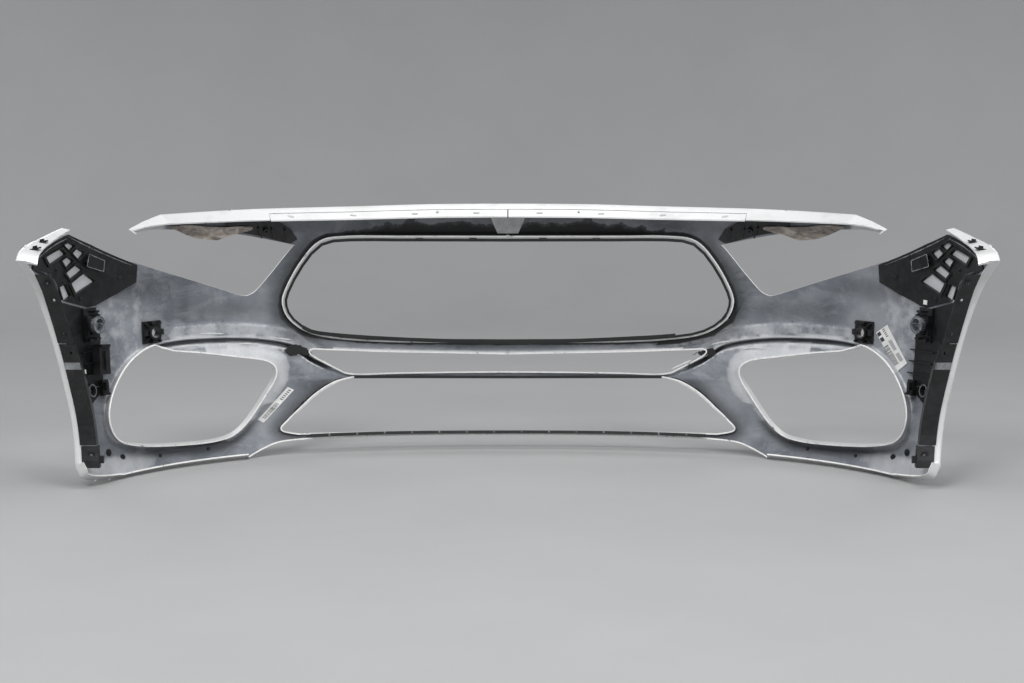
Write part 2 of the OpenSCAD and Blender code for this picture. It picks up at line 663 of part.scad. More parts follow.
skin_crest();
left() skin_pillar();  // skin_pillar_left
skin_pillar();  // skin_pillar_right
left() skin_shoulder();  // skin_shoulder_left
skin_shoulder();  // skin_shoulder_right
left() skin_fender();  // skin_fender_left
skin_fender();  // skin_fender_right
left() skin_corner();  // skin_corner_left
skin_corner();  // skin_corner_right
left() skin_foot();  // skin_foot_left
skin_foot();  // skin_foot_right
skin_bar_upper();
skin_bar_middle();
skin_bar_lower();
left() upper_rail();  // upper_rail_left
upper_rail();  // upper_rail_right
left() headlamp_bracket();  // headlamp_bracket_left
headlamp_bracket();  // headlamp_bracket_right
left() headlamp_shield();  // headlamp_shield_left
headlamp_shield();  // headlamp_shield_right
left() corner_bracket();  // corner_bracket_left
corner_bracket();  // corner_bracket_right
left() arch_rail();  // arch_rail_left
arch_rail();  // arch_rail_right
left() arch_channel();  // arch_channel_left
arch_channel();  // arch_channel_right
left() arch_foot();  // arch_foot_left
arch_foot();  // arch_foot_right
left() side_carrier();  // side_carrier_left
side_carrier();  // side_carrier_right
left() side_sensor_holder();  // side_sensor_holder_left
side_sensor_holder();  // side_sensor_holder_right
left() side_sensor_collar();  // side_sensor_collar_left
side_sensor_collar();  // side_sensor_collar_right
left() front_sensor_holder();  // front_sensor_holder_left
front_sensor_holder();  // front_sensor_holder_right
left() intake_clip();  // intake_clip_left
intake_clip();  // intake_clip_right
cable_box();
grille_rim_seal();
grille_lower_strip();
mid_bar_trim();
lower_bar_trim();
centre_pad();
seal_patch();
left() lower_grommets();  // lower_grommets_left
lower_grommets();  // lower_grommets_right
part_label_left();
part_label_right();
bracket_tag_left();
bracket_tag_right();
left() fender_clips();  // fender_clips_left
fender_clips();  // fender_clips_right
left() bracket_rivets();  // bracket_rivets_left
bracket_rivets();  // bracket_rivets_right
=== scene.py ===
"""Front bumper cover seen from behind: moulded skin with brackets, holders, trims and labels."""
import math
import random

import bmesh
import bpy
import numpy as np
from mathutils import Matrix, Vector, kdtree, noise
from mathutils.geometry import delaunay_2d_cdt


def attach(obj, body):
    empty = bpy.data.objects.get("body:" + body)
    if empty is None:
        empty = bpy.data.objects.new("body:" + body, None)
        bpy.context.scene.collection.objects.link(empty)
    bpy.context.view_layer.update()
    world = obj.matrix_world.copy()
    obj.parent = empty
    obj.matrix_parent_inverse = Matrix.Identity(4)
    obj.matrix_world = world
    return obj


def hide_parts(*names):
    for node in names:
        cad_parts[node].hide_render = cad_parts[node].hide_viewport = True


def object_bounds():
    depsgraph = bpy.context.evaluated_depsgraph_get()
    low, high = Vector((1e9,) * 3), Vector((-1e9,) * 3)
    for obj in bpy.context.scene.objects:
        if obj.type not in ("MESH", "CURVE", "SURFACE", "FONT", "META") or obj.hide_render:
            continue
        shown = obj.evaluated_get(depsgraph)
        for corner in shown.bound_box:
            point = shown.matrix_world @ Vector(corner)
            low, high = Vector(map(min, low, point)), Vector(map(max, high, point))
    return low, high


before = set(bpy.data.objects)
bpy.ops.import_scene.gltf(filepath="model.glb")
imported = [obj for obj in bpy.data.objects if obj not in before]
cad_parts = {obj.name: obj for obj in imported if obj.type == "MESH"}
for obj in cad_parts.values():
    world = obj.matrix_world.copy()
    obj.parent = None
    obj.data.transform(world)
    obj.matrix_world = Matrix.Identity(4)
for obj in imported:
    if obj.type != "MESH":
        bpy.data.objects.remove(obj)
CAD_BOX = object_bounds()
MM = 0.001
ROOT = "root"
SIDES = ((1, "right"), (-1, "left"))

# ---------------------------------------------------------------- body surface, in millimetres
HALF_W, NOSE_Y, CREST_Z, WALL = 925.0, 310.0, 541.0, 3.0
WIDEST_Z, SIDE_TUCK, NOSE_Z = 465.0, 57.0, 238.0
TOP_RAKE, CHIN_RAKE, PLAN_REAR = 102.0, 35.0, 330.0
U_SCALE = 1250.0        # length of surface across per unit of p, for meshing
SOFT_EDGE = 38          # angle in degrees above which an edge of the skin stays sharp
dice = random.Random(7)


def width_at(z):
    return HALF_W - SIDE_TUCK * np.clip(1 - z / WIDEST_Z, 0, 1) ** 1.2


def nose_at(z):
    high = np.clip((z - NOSE_Z) / (CREST_Z - NOSE_Z), 0, None) ** 2
    low = np.clip((NOSE_Z - z) / NOSE_Z, 0, None) ** 2
    return NOSE_Y - TOP_RAKE * high - CHIN_RAKE * low


def outer(p, z):
    """Points of the outer surface; p runs from 0 at the centre to 1 at the wheel arch."""
    p, z = np.asarray(p, float), np.asarray(z, float)
    angle = np.radians(90) * np.abs(p) ** 1.25
    x = width_at(z) * np.sign(p) * np.abs(np.sin(angle)) ** 0.8
    y = -PLAN_REAR + (nose_at(z) + PLAN_REAR) * np.cos(angle)
    return np.stack([x, y, z + 0 * x], axis=-1)


def inward(p, z):
    a = outer(p + 0.002, z) - outer(p - 0.002, z)
    b = outer(p, z + 1) - outer(p, z - 1)
    n = np.cross(a, b)
    return n / np.linalg.norm(n, axis=-1, keepdims=True)


def p_of_x(x, z):
    ratio = min(1.0, (abs(x) / float(width_at(z))) ** 1.25)
    return math.copysign((math.degrees(math.asin(ratio)) / 90) ** 0.8, x)


def p_of_y(y, z):
    ratio = (y + PLAN_REAR) / (float(nose_at(z)) + PLAN_REAR)
    return (math.degrees(math.acos(max(-1.0, min(1.0, ratio)))) / 90) ** 0.8


def skin(p, z, depth):
    return outer(p, z) + np.asarray(depth)[..., None] * inward(p, z)


# ---------------------------------------------------------------- outlines of the right-hand half
def smooth(pts, steps=6):
    """Catmull-Rom curve through the points."""
    pts = [np.array(q, float) for q in pts]
    last = len(pts) - 1
    out = []
    for i in range(last):
        a, b, c, d = pts[max(0, i - 1)], pts[i], pts[i + 1], pts[min(last, i + 2)]
        for k in range(steps):
            t = k / steps
            out.append(0.5 * (2 * b + (c - a) * t + (2 * a - 5 * b + 4 * c - d) * t * t
                              + (3 * b - a - 3 * c + d) * t ** 3))
    return out + [pts[last]]


def smooth_loop(pts, steps=6):
    ring = smooth(pts[-2:] + pts + pts[:2], steps)
    return ring[2 * steps:-2 * steps]


def divide(pts, spacing):
    """The line through the points, at equal steps near the spacing."""
    pts = [np.array(q, float) for q in pts]
    out = [pts[0]]
    for a, b in zip(pts, pts[1:]):
        n = max(1, int(round(np.linalg.norm(b - a) / spacing)))
        out += [a + (b - a) * k / n for k in range(1, n + 1)]
    return out


CREST = [(0, 541), (165, 540), (333, 536), (538, 533), (711, 527)]
TIP = [(711, 527), (741, 515), (770, 499), (762, 491)]
STRIP_EDGE = [(762, 491), (721, 496), (639, 490), (584, 483), (521, 470), (452, 453)]
HEADLAMP_EDGE = [(452, 453), (458, 449), (480, 423), (500, 398), (528, 365), (541, 352), (556, 345),
                 (569, 347), (593, 356), (632, 372), (678, 391), (723, 410), (763, 428), (820, 454),
                 (869, 497)]
BOTTOM_RISE = [(556, 0), (524, 16), (490, 27), (430, 30)]
GRILLE = [(0, 470), (231, 471), (340, 472), (400, 462), (444, 414), (477, 354), (482, 322),
          (467, 290), (428, 262), (364, 247), (235, 237), (0, 234)]
SLOT = [(0, 205), (236, 211), (379, 219), (424, 222), (423, 211), (374, 182), (336, 168),
        (236, 168), (0, 169)]
LOWER = [(338, 158), (376, 149), (414, 127), (449, 96), (474, 72), (487, 54), (452, 44)]
INTAKE = [(741, 252), (779, 229), (805, 184), (815, 130), (802, 83), (768, 62), (704, 50),
          (624, 48), (577, 67), (530, 132), (507, 176), (524, 200), (590, 214), (655, 227),
          (710, 237)]
FENDER = [(-130, 511), (-193, 496), (-236, 489), (-287, 477), (-310, 461)]
ARCH = [(-310, 461), (-241, 407), (-201, 340), (-180, 277), (-168, 216), (-160, 154),
        (-162, 101), (-174, 46)]
TUCK = [(-174, 46), (-168, 20), (-120, 7), (-60, 0)]
RIDGE = [(362, 172), (372, 180), (424, 207), (470, 238), (551, 255), (649, 261), (714, 259),
         (760, 247), (790, 232)]


def from_front(pts):
    return [(p_of_x(x, z), z) for x, z in pts]


def from_side(pts):
    return [(p_of_y(y, z), z) for y, z in pts]


# ---------------------------------------------------------------- relief of the surface
ridge_curve = np.array(smooth(RIDGE, 10))


def step(a, b, v):
    t = np.clip((v - a) / (b - a), 0, 1)
    return t * t * (3 - 2 * t)


def below_ridge(x, z):
    """How far a point lies under the ridge over the side intake, and how strong the ridge is."""
    v = np.interp(x, ridge_curve[:, 0], ridge_curve[:, 1]) - z
    return v, step(362, 430, x) * (1 - step(712, 752, x))


def relief(p, z):
    """Distance that the surface is pushed inward, towards the engine bay."""
    x = outer(p, z)[..., 0]
    v, strength = below_ridge(x, z)
    band = 2.6 * step(-30, -26, v) * (1 - step(0, 2, v))
    groove = -9.0 * step(0.5, 3.5, v) * (1 - step(12, 16, v))
    swell = 3.0 * step(16, 40, v) * (1 - step(40, 90, v))
    bottom = 4.0 * (1 - step(30, 44, z)) * step(530, 570, x)
    return strength * (band + groove + swell) + bottom


# ---------------------------------------------------------------- skin mesh
# Radius of the fold at each kind of edge, and depth of the flanges that are even along the edge
FOLD = {"crest": 3.0, "open": 4.0, "intake": 7.0, "wing": 3.0, "arch": 4.0, "bottom": 4.0,
        "bar": 2.0, "raw": 0.0, "mid": 0.0, "hole": 1.2}
FLANGE = {"open": 13.0, "intake": 33.0, "arch": 20.0, "bar": 9.0}
NO_FLANGE = ("raw", "mid", "hole")
OPEN_ENDED = ("raw", "mid")
# Crest: a lip as far as the rail, then a full flange that narrows over the tip
RAIL_L, CREST_LIP_W, TOP_FLANGE_W = 504.0, 19.0, 41.0
TIP_START_X, TIP_LENGTH, TIP_FLANGE_W = 711, 59, 11
WING_FRONT_W, WING_REAR_W = 18, 42
BOTTOM_LIP_W, BOTTOM_FLANGE_W = 4, 22
BOTTOM_FADE_X, BOTTOM_END_X = 860, 900
DRAFT = {"open": 0.1, "intake": 0.24}
FLANGE_STEP = 6         # length of flange for each row of faces
# Holes through the skin: middle and radius
FRONT_SENSOR_HOLE = (from_front([(741, 282)])[0], 11.6)
SIDE_SENSOR_HOLE = (from_side([(-66, 312)])[0], 12.6)
HOLE_SIDES = 28
# Lines of finer mesh along the ridge, by their distance above it
RIDGE_LINES = (-31, -28, -25, -0.5, 1, 2.4, 4, 11, 13, 14.6, 16.5)
FOLD_SHARES = (0.08, 0.3, 0.62, 1.0)
NO_FOLD = 99.0          # stands for a point that is clear of every fold


def skin_loops():
    """Closed loops of the right-hand half, as lists of (u, z, kind)."""
    def part(pts, kind, spacing=5.0):
        line = divide([(p * U_SCALE, z) for p, z in pts], spacing)
        return [(q[0], q[1], kind) for q in line[:-1]]

    crest = [tuple(q) for q in smooth(CREST)]
    rail_z = float(np.interp(RAIL_L, [q[0] for q in crest], [q[1] for q in crest]))
    inner = [q for q in crest if q[0] < RAIL_L - 2] + [(RAIL_L - 0.3, rail_z)]
    outside = [(RAIL_L + 0.5, rail_z)] + [q for q in crest if q[0] > RAIL_L + 2]
    rim = part(from_front(inner + outside[:1]), "crest") + part(from_front(outside), "crest")
    rim += part(from_front(TIP), "crest")
    rim += part(from_front(smooth(STRIP_EDGE)), "raw")
    rim += part(from_front(smooth(HEADLAMP_EDGE)) + from_side(FENDER[:1]), "raw")
    rim += part(from_side(smooth(FENDER)), "wing")
    rim += part(from_side(smooth(ARCH)), "arch")
    rim += part(from_side(smooth(TUCK)) + from_front([(556, 0)]), "bottom")
    rim += part(from_front(smooth(BOTTOM_RISE) + [(0, 31)]), "bar")
    rim += part(from_front([(0, 31), (0, 40)]), "mid")
    lower = [(0, 40), (235, 40)] + smooth(LOWER)[::-1] + [(0, 154)]
    rim += part(from_front(lower), "open") + part(from_front([(0, 154), (0, 169)]), "mid")
    rim += part(from_front(smooth(SLOT)[::-1]), "open")
    rim += part(from_front([(0, 205), (0, 234)]), "mid")
    rim += part(from_front(smooth(GRILLE)[::-1]), "open")
    rim += part(from_front([(0, 470), (0, 541)]), "mid")
    loops = [rim]
    ring = from_front(smooth_loop(INTAKE))
    loops.append(part(ring + ring[:1], "intake"))
    for centre, radius in (FRONT_SENSOR_HOLE, SIDE_SENSOR_HOLE):
        circle = [(centre[0] + radius / U_SCALE * math.cos(a * math.tau / HOLE_SIDES),
                   centre[1] + radius * math.sin(a * math.tau / HOLE_SIDES))
                  for a in range(HOLE_SIDES + 1)]
        loops.append(part(circle, "hole", 3.0))
    return loops


def in_loops(points, loops):
    """Even-odd test of an array of points against the loops."""
    inside = np.zeros(len(points), bool)
    x, y = points[:, 0], points[:, 1]
    for loop in loops:
        a = np.array([q[:2] for q in loop])
        b = np.roll(a, -1, axis=0)
        for (x0, y0), (x1, y1) in zip(a, b):
            if y0 == y1:
                continue
            hit = (y0 > y) != (y1 > y)
            inside ^= hit & (x < (x1 - x0) * (y - y0) / (y1 - y0) + x0)
    return inside


def flange_depth(kind, p, z, place):
    """Depth of the flange at a boundary point; place is its distance along the edge, 0 to 1."""
    x = float(outer(p, z)[0])
    if kind == "crest":
        if x < RAIL_L:
            return CREST_LIP_W
        taper = min(1, max(0, (x - TIP_START_X) / TIP_LENGTH))
        return TOP_FLANGE_W + (TIP_FLANGE_W - TOP_FLANGE_W) * taper
    if kind == "wing":
        return WING_FRONT_W + (WING_REAR_W - WING_FRONT_W) * place
    if kind == "bottom":
        full = float(step(BOTTOM_END_X, BOTTOM_FADE_X, x))
        return BOTTOM_LIP_W + (BOTTOM_FLANGE_W - BOTTOM_LIP_W) * full
    return FLANGE[kind]


def flange_way(kind, p, z, over):
    """Direction in which a flange runs: along the inward normal, with a lean for each kind. A
    draft leans the flanges of openings over the material, which is where over points."""
    n = inward(p, z)
    if kind == "crest":
        way = n + np.array([0, 0, -0.1])
    elif kind == "wing":
        way = np.array([-0.9, 0.1, -0.2])
    elif kind == "arch":
        way = np.array([-1.0, 0.02, 0])
    elif kind == "bottom":
        way = n + np.array([0, 0, 0.35])
    elif kind in ("open", "intake"):
        way = n + np.array([0, -0.8, 0]) + over * DRAFT[kind]
    else:
        way = n
    return way / np.linalg.norm(way)


def into_material(boundary, rings, loops):
    """Unit vector from each boundary point into the material."""
    into = np.zeros_like(boundary)
    for first, n in rings:
        a = boundary[first:first + n]
        t = np.roll(a, -1, axis=0) - np.roll(a, 1, axis=0)
        side = np.stack([t[:, 1], -t[:, 0]], axis=1)
        side /= np.maximum(np.linalg.norm(side, axis=1, keepdims=True), 1e-9)
        test = in_loops(a + side * 1.5, loops)
        side[~test] *= -1
        into[first:first + n] = side
    return into


def fold_points(boundary, kinds, into, tree):
    """Points beside the edges, where the surface folds over, and how far each is from the edge."""
    points, reach = [], []
    for i, kind in enumerate(kinds):
        radius = FOLD[kind]
        if radius <= 0:
            continue
        for share in FOLD_SHARES:
            q = boundary[i] + into[i] * radius * share
            near = tree.find((q[0], q[1], 0))[2]
            if near > radius * share * 0.8:
                points.append(q)
                reach.append(radius * share)
    return points, reach


def inner_points(kinds, tree, loops):
    """A staggered grid and the lines along the ridge, as far as they are clear of the folds."""
    spacing = 6.5
    us = np.arange(spacing / 2, U_SCALE, spacing)
    zs = np.arange(spacing / 2, CREST_Z, spacing)
    grid = np.array([(u + (j % 2) * spacing / 2, z) for j, z in enumerate(zs) for u in us])
    fine = np.array(smooth(RIDGE[1:], 26))
    for offset in RIDGE_LINES:
        line = [(p_of_x(x, z - offset) * U_SCALE, z - offset) for x, z in fine]
        grid = np.vstack([grid, np.array(line)])
    keep = []
    for q in grid[in_loops(grid, loops)]:
        _, index, near = tree.find((q[0], q[1], 0))
        if near > FOLD[kinds[index]] + 2.2:
            keep.append(q)
    return keep


def fold_depth(kind, reach):
    """How far the rounded edge has dropped inward, at a distance from the edge."""
    radius = FOLD[kind]
    gap = radius - min(radius, reach)
    return radius - math.sqrt(max(0.0, radius * radius - gap * gap))


def join_rows(a, b):
    """Faces between two rows of vertices; where a row is shorter, its last vertex is repeated."""
    faces = []
    for k in range(max(len(a), len(b)) - 1):
        a0, a1 = a[min(k, len(a) - 1)], a[min(k + 1, len(a) - 1)]
        b0, b1 = b[min(k, len(b) - 1)], b[min(k + 1, len(b) - 1)]
        face = tuple(dict.fromkeys((a0, b0, b1, a1)))
        if len(face) >= 3:
            faces.append(face)
    return faces


def build_skin():
    """Vertices in metres, faces, the surface place of each vertex and whether it is on a flange."""
    loops = skin_loops()
    pts, kinds, edges, rings = [], [], [], []
    for loop in loops:
        first, n = len(pts), len(loop)
        rings.append((first, n))
        for i, (u, z, kind) in enumerate(loop):
            pts.append((u, z))
            kinds.append(kind)
            edges.append((first + i, first + (i + 1) % n))
    boundary = np.array(pts)
    tree = kdtree.KDTree(len(boundary))
    for i, q in enumerate(boundary):
        tree.insert((q[0], q[1], 0), i)
    tree.balance()
    into = into_material(boundary, rings, loops)
    extra, extra_reach = fold_points(boundary, kinds, into, tree)
    keep = inner_points(kinds, tree, loops)
    all_pts = [Vector(q) for q in boundary] + [Vector(q) for q in extra] + [Vector(q) for q in keep]
    reach = [0.0] * len(boundary) + extra_reach + [NO_FOLD] * len(keep)
    got = delaunay_2d_cdt(all_pts, edges, [], 0, 1e-4)
    v2 = np.array([tuple(v) for v in got[0]])
    tri = np.array([f for f in got[2] if len(f) == 3])
    tri = tri[in_loops(v2[tri].mean(axis=1), loops)]
    source = [o[0] if o else -1 for o in got[3]]

    p, z = v2[:, 0] / U_SCALE, v2[:, 1]
    depth = relief(p, z)
    for i, s in enumerate(source):
        if s >= 0 and reach[s] < NO_FOLD:
            nearest = s if s < len(boundary) else tree.find((v2[i, 0], v2[i, 1], 0))[1]
            depth[i] += fold_depth(kinds[nearest], reach[s])

    # Flanges grow from the boundary vertices
    place_of = {s: i for i, s in enumerate(source) if 0 <= s < len(boundary)}
    verts = [tuple(c) for c in skin(p, z, depth)]
    faces = [tuple(int(k) for k in f) for f in tri]
    param = list(zip(p, z))
    for first, n in rings:
        rows = {}
        for i in range(n):
            kind = kinds[first + i]
            use = kinds[first + (i - 1) % n] if kind in OPEN_ENDED else kind
            if use in NO_FLANGE or first + i not in place_of:
                continue
            v = place_of[first + i]
            pp, zz = param[v]
            run = [k for k in range(n) if kinds[first + k] == use]
            place = (i - run[0]) / max(1, run[-1] - run[0]) if use == "wing" else 0
            length = max(0.5, flange_depth(use, pp, zz, min(1, max(0, place))) - FOLD[use])
            near = into[first + i]
            ahead = outer(pp + near[0] * 0.5 / U_SCALE, zz + near[1] * 0.5) - outer(pp, zz)
            way = flange_way(use, pp, zz, ahead / max(1e-9, np.linalg.norm(ahead)))
            base = np.array(verts[v])
            count = max(1, int(length / FLANGE_STEP))
            rows[i] = [v] + list(range(len(verts), len(verts) + count))
            for k in range(1, count + 1):
                verts.append(tuple(base + way * length * k / count))
                param.append((pp, zz))
        for i in range(n):
            j = (i + 1) % n
            if i in rows and j in rows and kinds[first + i] not in OPEN_ENDED:
                faces += join_rows(rows[i], rows[j])
    on_flange = np.arange(len(verts)) >= len(p)
    return np.array(verts) * MM, faces, param, on_flange


def distance_to(line, xz):
    """Shortest distance from each point to a line."""
    best = np.full(len(xz), 1e9)
    for start, end in zip(line[:-1], line[1:]):
        d = end - start
        t = np.clip(((xz - start) @ d) / max(1e-9, d @ d), 0, 1)
        best = np.minimum(best, np.linalg.norm(xz - start - t[:, None] * d, axis=1))
    return best


def fade(a, b, v):
    """One below a, nothing above b."""
    return 1 - step(a, b, v)


def hump(v, middle, width):
    return np.exp(-((v - middle) / width) ** 2)


def soot_fields(x, z, v, strength, to_grille):
    """Black overspray round the grille and in the groove, and how torn its edge is."""
    top = step(440, 462, z)
    width = 8.5 + top * 20 * fade(215, 350, x) + 5 * (1 - top) * step(400, 440, x) * fade(300, 350, z)
    soot = np.clip(0.5 + (width - to_grille) / 80, 0, 1)
    torn = strength * step(0, 2, v) * fade(13, 17, v) * fade(455, 475, x)
    rag = 0.03 + 0.13 * top * fade(300, 380, x) + 0.05 * step(400, 440, x) * fade(330, 360, z)
    return np.maximum(soot, 0.44 + 0.14 * torn), rag


def dark_field(x, z, v, strength, to_grille, to_intake, to_lower):
    """Painted shade: smooth darkening in the groove, under the intake, near the lower opening, beside
    the grille, on the top band and in two soft patches, as the strongest of its patches.
    """
    groove = 0.93 * strength * step(0, 5, v) * fade(10, 17, v)
    valley = 0.93 * hump(to_intake, 19, 9) * (z < 76) * step(505, 570, x) * (1 - 0.7 * step(730, 800, x))
    branch = 0.88 * hump(to_lower, 0, 27) * (z < 158) * step(345, 400, x)
    pillar = 0.75 * hump(to_grille, 8, 26) * step(385, 440, x)
    crest = 0.34 * step(474, 482, z) * fade(560, 700, x)
    cloud = 0.45 * hump(x, 610, 95) * hump(z, 318, 20)
    corner = 0.5 * hump(x, 760, 60) * hump(z, 372, 26)
    return np.maximum.reduce([groove, valley, branch, pillar, crest, cloud, corner])


def silver_and_highlight_field(surface, v, strength, to_intake, to_slot):
    """Silver overspray, and painted highlights on the ridge lip and on the lower lip of the groove, as
    the strongest of its patches.
    """
    x, y, z = surface.T
    patch = np.clip(1 - to_intake / 44 + 0.25 * (x < 600) - 0.4 * (z < 110), 0, 0.75) * (x < 640)
    glow = np.clip(0.52 - to_intake / 90, 0, 1) * (x > 640)
    over_ridge = 0.5 * strength * step(-31, -27, v) * fade(-5, -1, v)
    # Painted highlight along the lip of the ridge.
    ridge_highlight = strength * hump(v, -1.5, 2.2)
    # Painted highlight along the lower lip of the groove.
    groove_lip_highlight = 0.8 * strength * hump(v, 17, 2.4)
    slot_edge = np.clip(1.15 - to_slot / 9, 0, 1) * (x < 380)
    foot = 0.62 * step(20, 60, 90 - z) * step(660, 780, x)
    side = 0.45 * step(600, 800, x) * step(120, 260, z)
    behind_windows = step(-205, -190, y) * fade(-40, -20, y) * step(360, 372, z) * (x > 700)
    return np.maximum.reduce([patch, glow, over_ridge, ridge_highlight, groove_lip_highlight, slot_edge, foot, side,
                              behind_windows])


def shade_fields(param, on_flange):
    """Paint fields for each vertex: soot is black overspray with a torn edge, rag says how torn it is,
    shade is painted shade, a smooth darkening, and the silver field is silver overspray together with
    painted highlights."""
    place = np.array(param)
    surface = outer(place[:, 0], place[:, 1])
    x, y, z = surface.T
    xz = surface[:, [0, 2]]
    to_grille = distance_to(np.array(smooth(GRILLE, 8)), xz)
    to_intake = distance_to(np.array(smooth_loop(INTAKE)), xz)
    to_lower = distance_to(np.array([(0, 154)] + [tuple(q) for q in smooth(LOWER, 5)]), xz)
    to_slot = distance_to(np.array(smooth(SLOT)), xz)
    v, strength = below_ridge(x, z)
    soot, rag = soot_fields(x, z, v, strength, to_grille)
    shade = dark_field(x, z, v, strength, to_grille, to_intake, to_lower)
    silver = silver_and_highlight_field(surface, v, strength, to_intake, to_slot)

    silver = np.where(on_flange & (to_grille > 0.5), 1.0, silver)
    shade = np.where(on_flange, 0.0, shade)
    arch = on_flange & (y < -150) & (z < 452)
    silver, shade = np.where(arch, 0.48, silver), np.where(arch, 0.12, shade)
    tip = step(690, 720, x) * (z > 489) * (y > 0)
    silver, shade = np.maximum(silver, tip), shade * (1 - tip)
    return {"soot": soot, "rag": rag, "shade": np.clip(shade, 0, 1), "silver": np.clip(silver, 0, 1)}


# ---------------------------------------------------------------- mesh helpers
def make_object(name, verts, faces, mats, smooth_angle=40, parent_body=ROOT):
    mesh = bpy.data.meshes.new(name)
    mesh.from_pydata([tuple(v) for v in verts], [], faces)
    mesh.validate()
    obj = bpy.data.objects.new(name, mesh)
    bpy.context.scene.collection.objects.link(obj)
    for m in mats:
        mesh.materials.append(m)
    finish_mesh(obj, smooth_angle)
    if parent_body:
        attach(obj, parent_body)
    return obj


def finish_mesh(obj, smooth_angle=40):
    for poly in obj.data.polygons:
        poly.use_smooth = True
    obj.data.set_sharp_from_angle(angle=math.radians(smooth_angle))


def apply_modifiers(obj):
    graph = bpy.context.evaluated_depsgraph_get()
    mesh = bpy.data.meshes.new_from_object(obj.evaluated_get(graph))
    old = obj.data
    obj.modifiers.clear()
    obj.data = mesh
    bpy.data.meshes.remove(old)


def face_outward(obj, forward=False):
    """Make the normals agree; forward also turns them so that the foremost face looks forward."""
    bm = bmesh.new()
    bm.from_mesh(obj.data)
    bmesh.ops.recalc_face_normals(bm, faces=bm.faces)
    if forward and max(bm.faces, key=lambda f: f.calc_center_median().y).normal.y < 0:
        bmesh.ops.reverse_faces(bm, faces=bm.faces)
    bm.to_mesh(obj.data)
    bm.free()


def surface_plate(name, outlines, depth, thick, mat, side=1, spacing=8.0, view=from_front,
                  wave=None):
    """Thin closed plates that follow the inside of the skin, cut to the outlines. A wave gives
    extra depth at each place."""
    verts, faces = [], []
    for outline in outlines:
        loop = divide([(p * U_SCALE, z) for p, z in view(list(outline) + [outline[0]])], spacing)[:-1]
        n, ring = len(loop), [[tuple(q) for q in loop]]
        low, high = np.min(loop, axis=0), np.max(loop, axis=0)
        us, zs = np.arange(low[0], high[0], spacing), np.arange(low[1], high[1], spacing)
        grid = np.array([(u, z) for u in us for z in zs if u > low[0] and z > low[1]]).reshape(-1, 2)
        inside = grid[in_loops(grid, ring)] if len(grid) else grid
        far = [q for q in inside if min(np.linalg.norm(np.array(loop) - q, axis=1)) > spacing * 0.45]
        got = delaunay_2d_cdt([Vector(q) for q in loop] + [Vector(q) for q in far],
                              [(i, (i + 1) % n) for i in range(n)], [], 0, 1e-4)
        flat = np.array([tuple(v) for v in got[0]])
        tri = [f for f in got[2] if len(f) == 3 and in_loops(flat[list(f)].mean(axis=0)[None], ring)[0]]
        count, base = len(flat), len(verts)
        for d in (depth, depth + thick):
            for u, z in flat:
                more = wave(u, z) if wave else 0.0
                co = skin(np.array(u / U_SCALE), np.array(z), d + more) * MM
                verts.append((co[0] * side, co[1], co[2]))
        edges = {}
        for f in tri:
            for a, b in zip(f, f[1:] + f[:1]):
                edges[(a, b)] = True
            faces.append(tuple(base + k for k in f))
            faces.append(tuple(base + count + k for k in reversed(f)))
        for a, b in edges:
            if (b, a) not in edges:
                faces.append((base + b, base + a, base + count + a, base + count + b))
    obj = make_object(name, verts, faces, [mat], 30)
    face_outward(obj)
    return obj


def band(line, width, wave=0.0, taper=0.0):
    """Outline of a band of the given width along a line, with a wavy edge and thin ends."""
    pts = [np.array(q, float) for q in line]
    along = np.array([pts[min(i + 1, len(pts) - 1)] - pts[max(i - 1, 0)] for i in range(len(pts))])
    off = np.stack([-along[:, 1], along[:, 0]], axis=1)
    off /= np.maximum(np.linalg.norm(off, axis=1, keepdims=True), 1e-9)
    rows = []
    for i, (q, o) in enumerate(zip(pts, off)):
        share = min(i, len(pts) - 1 - i) / max(1, (len(pts) - 1) / 2)
        half = width / 2 * (1 - taper + taper * min(1, 2.5 * share))
        rows.append((q, o, max(0.15, half * (1 + wave * dice.uniform(-1, 1)))))
    return [tuple(q + o * h) for q, o, h in rows] + [tuple(q - o * h) for q, o, h in reversed(rows)]


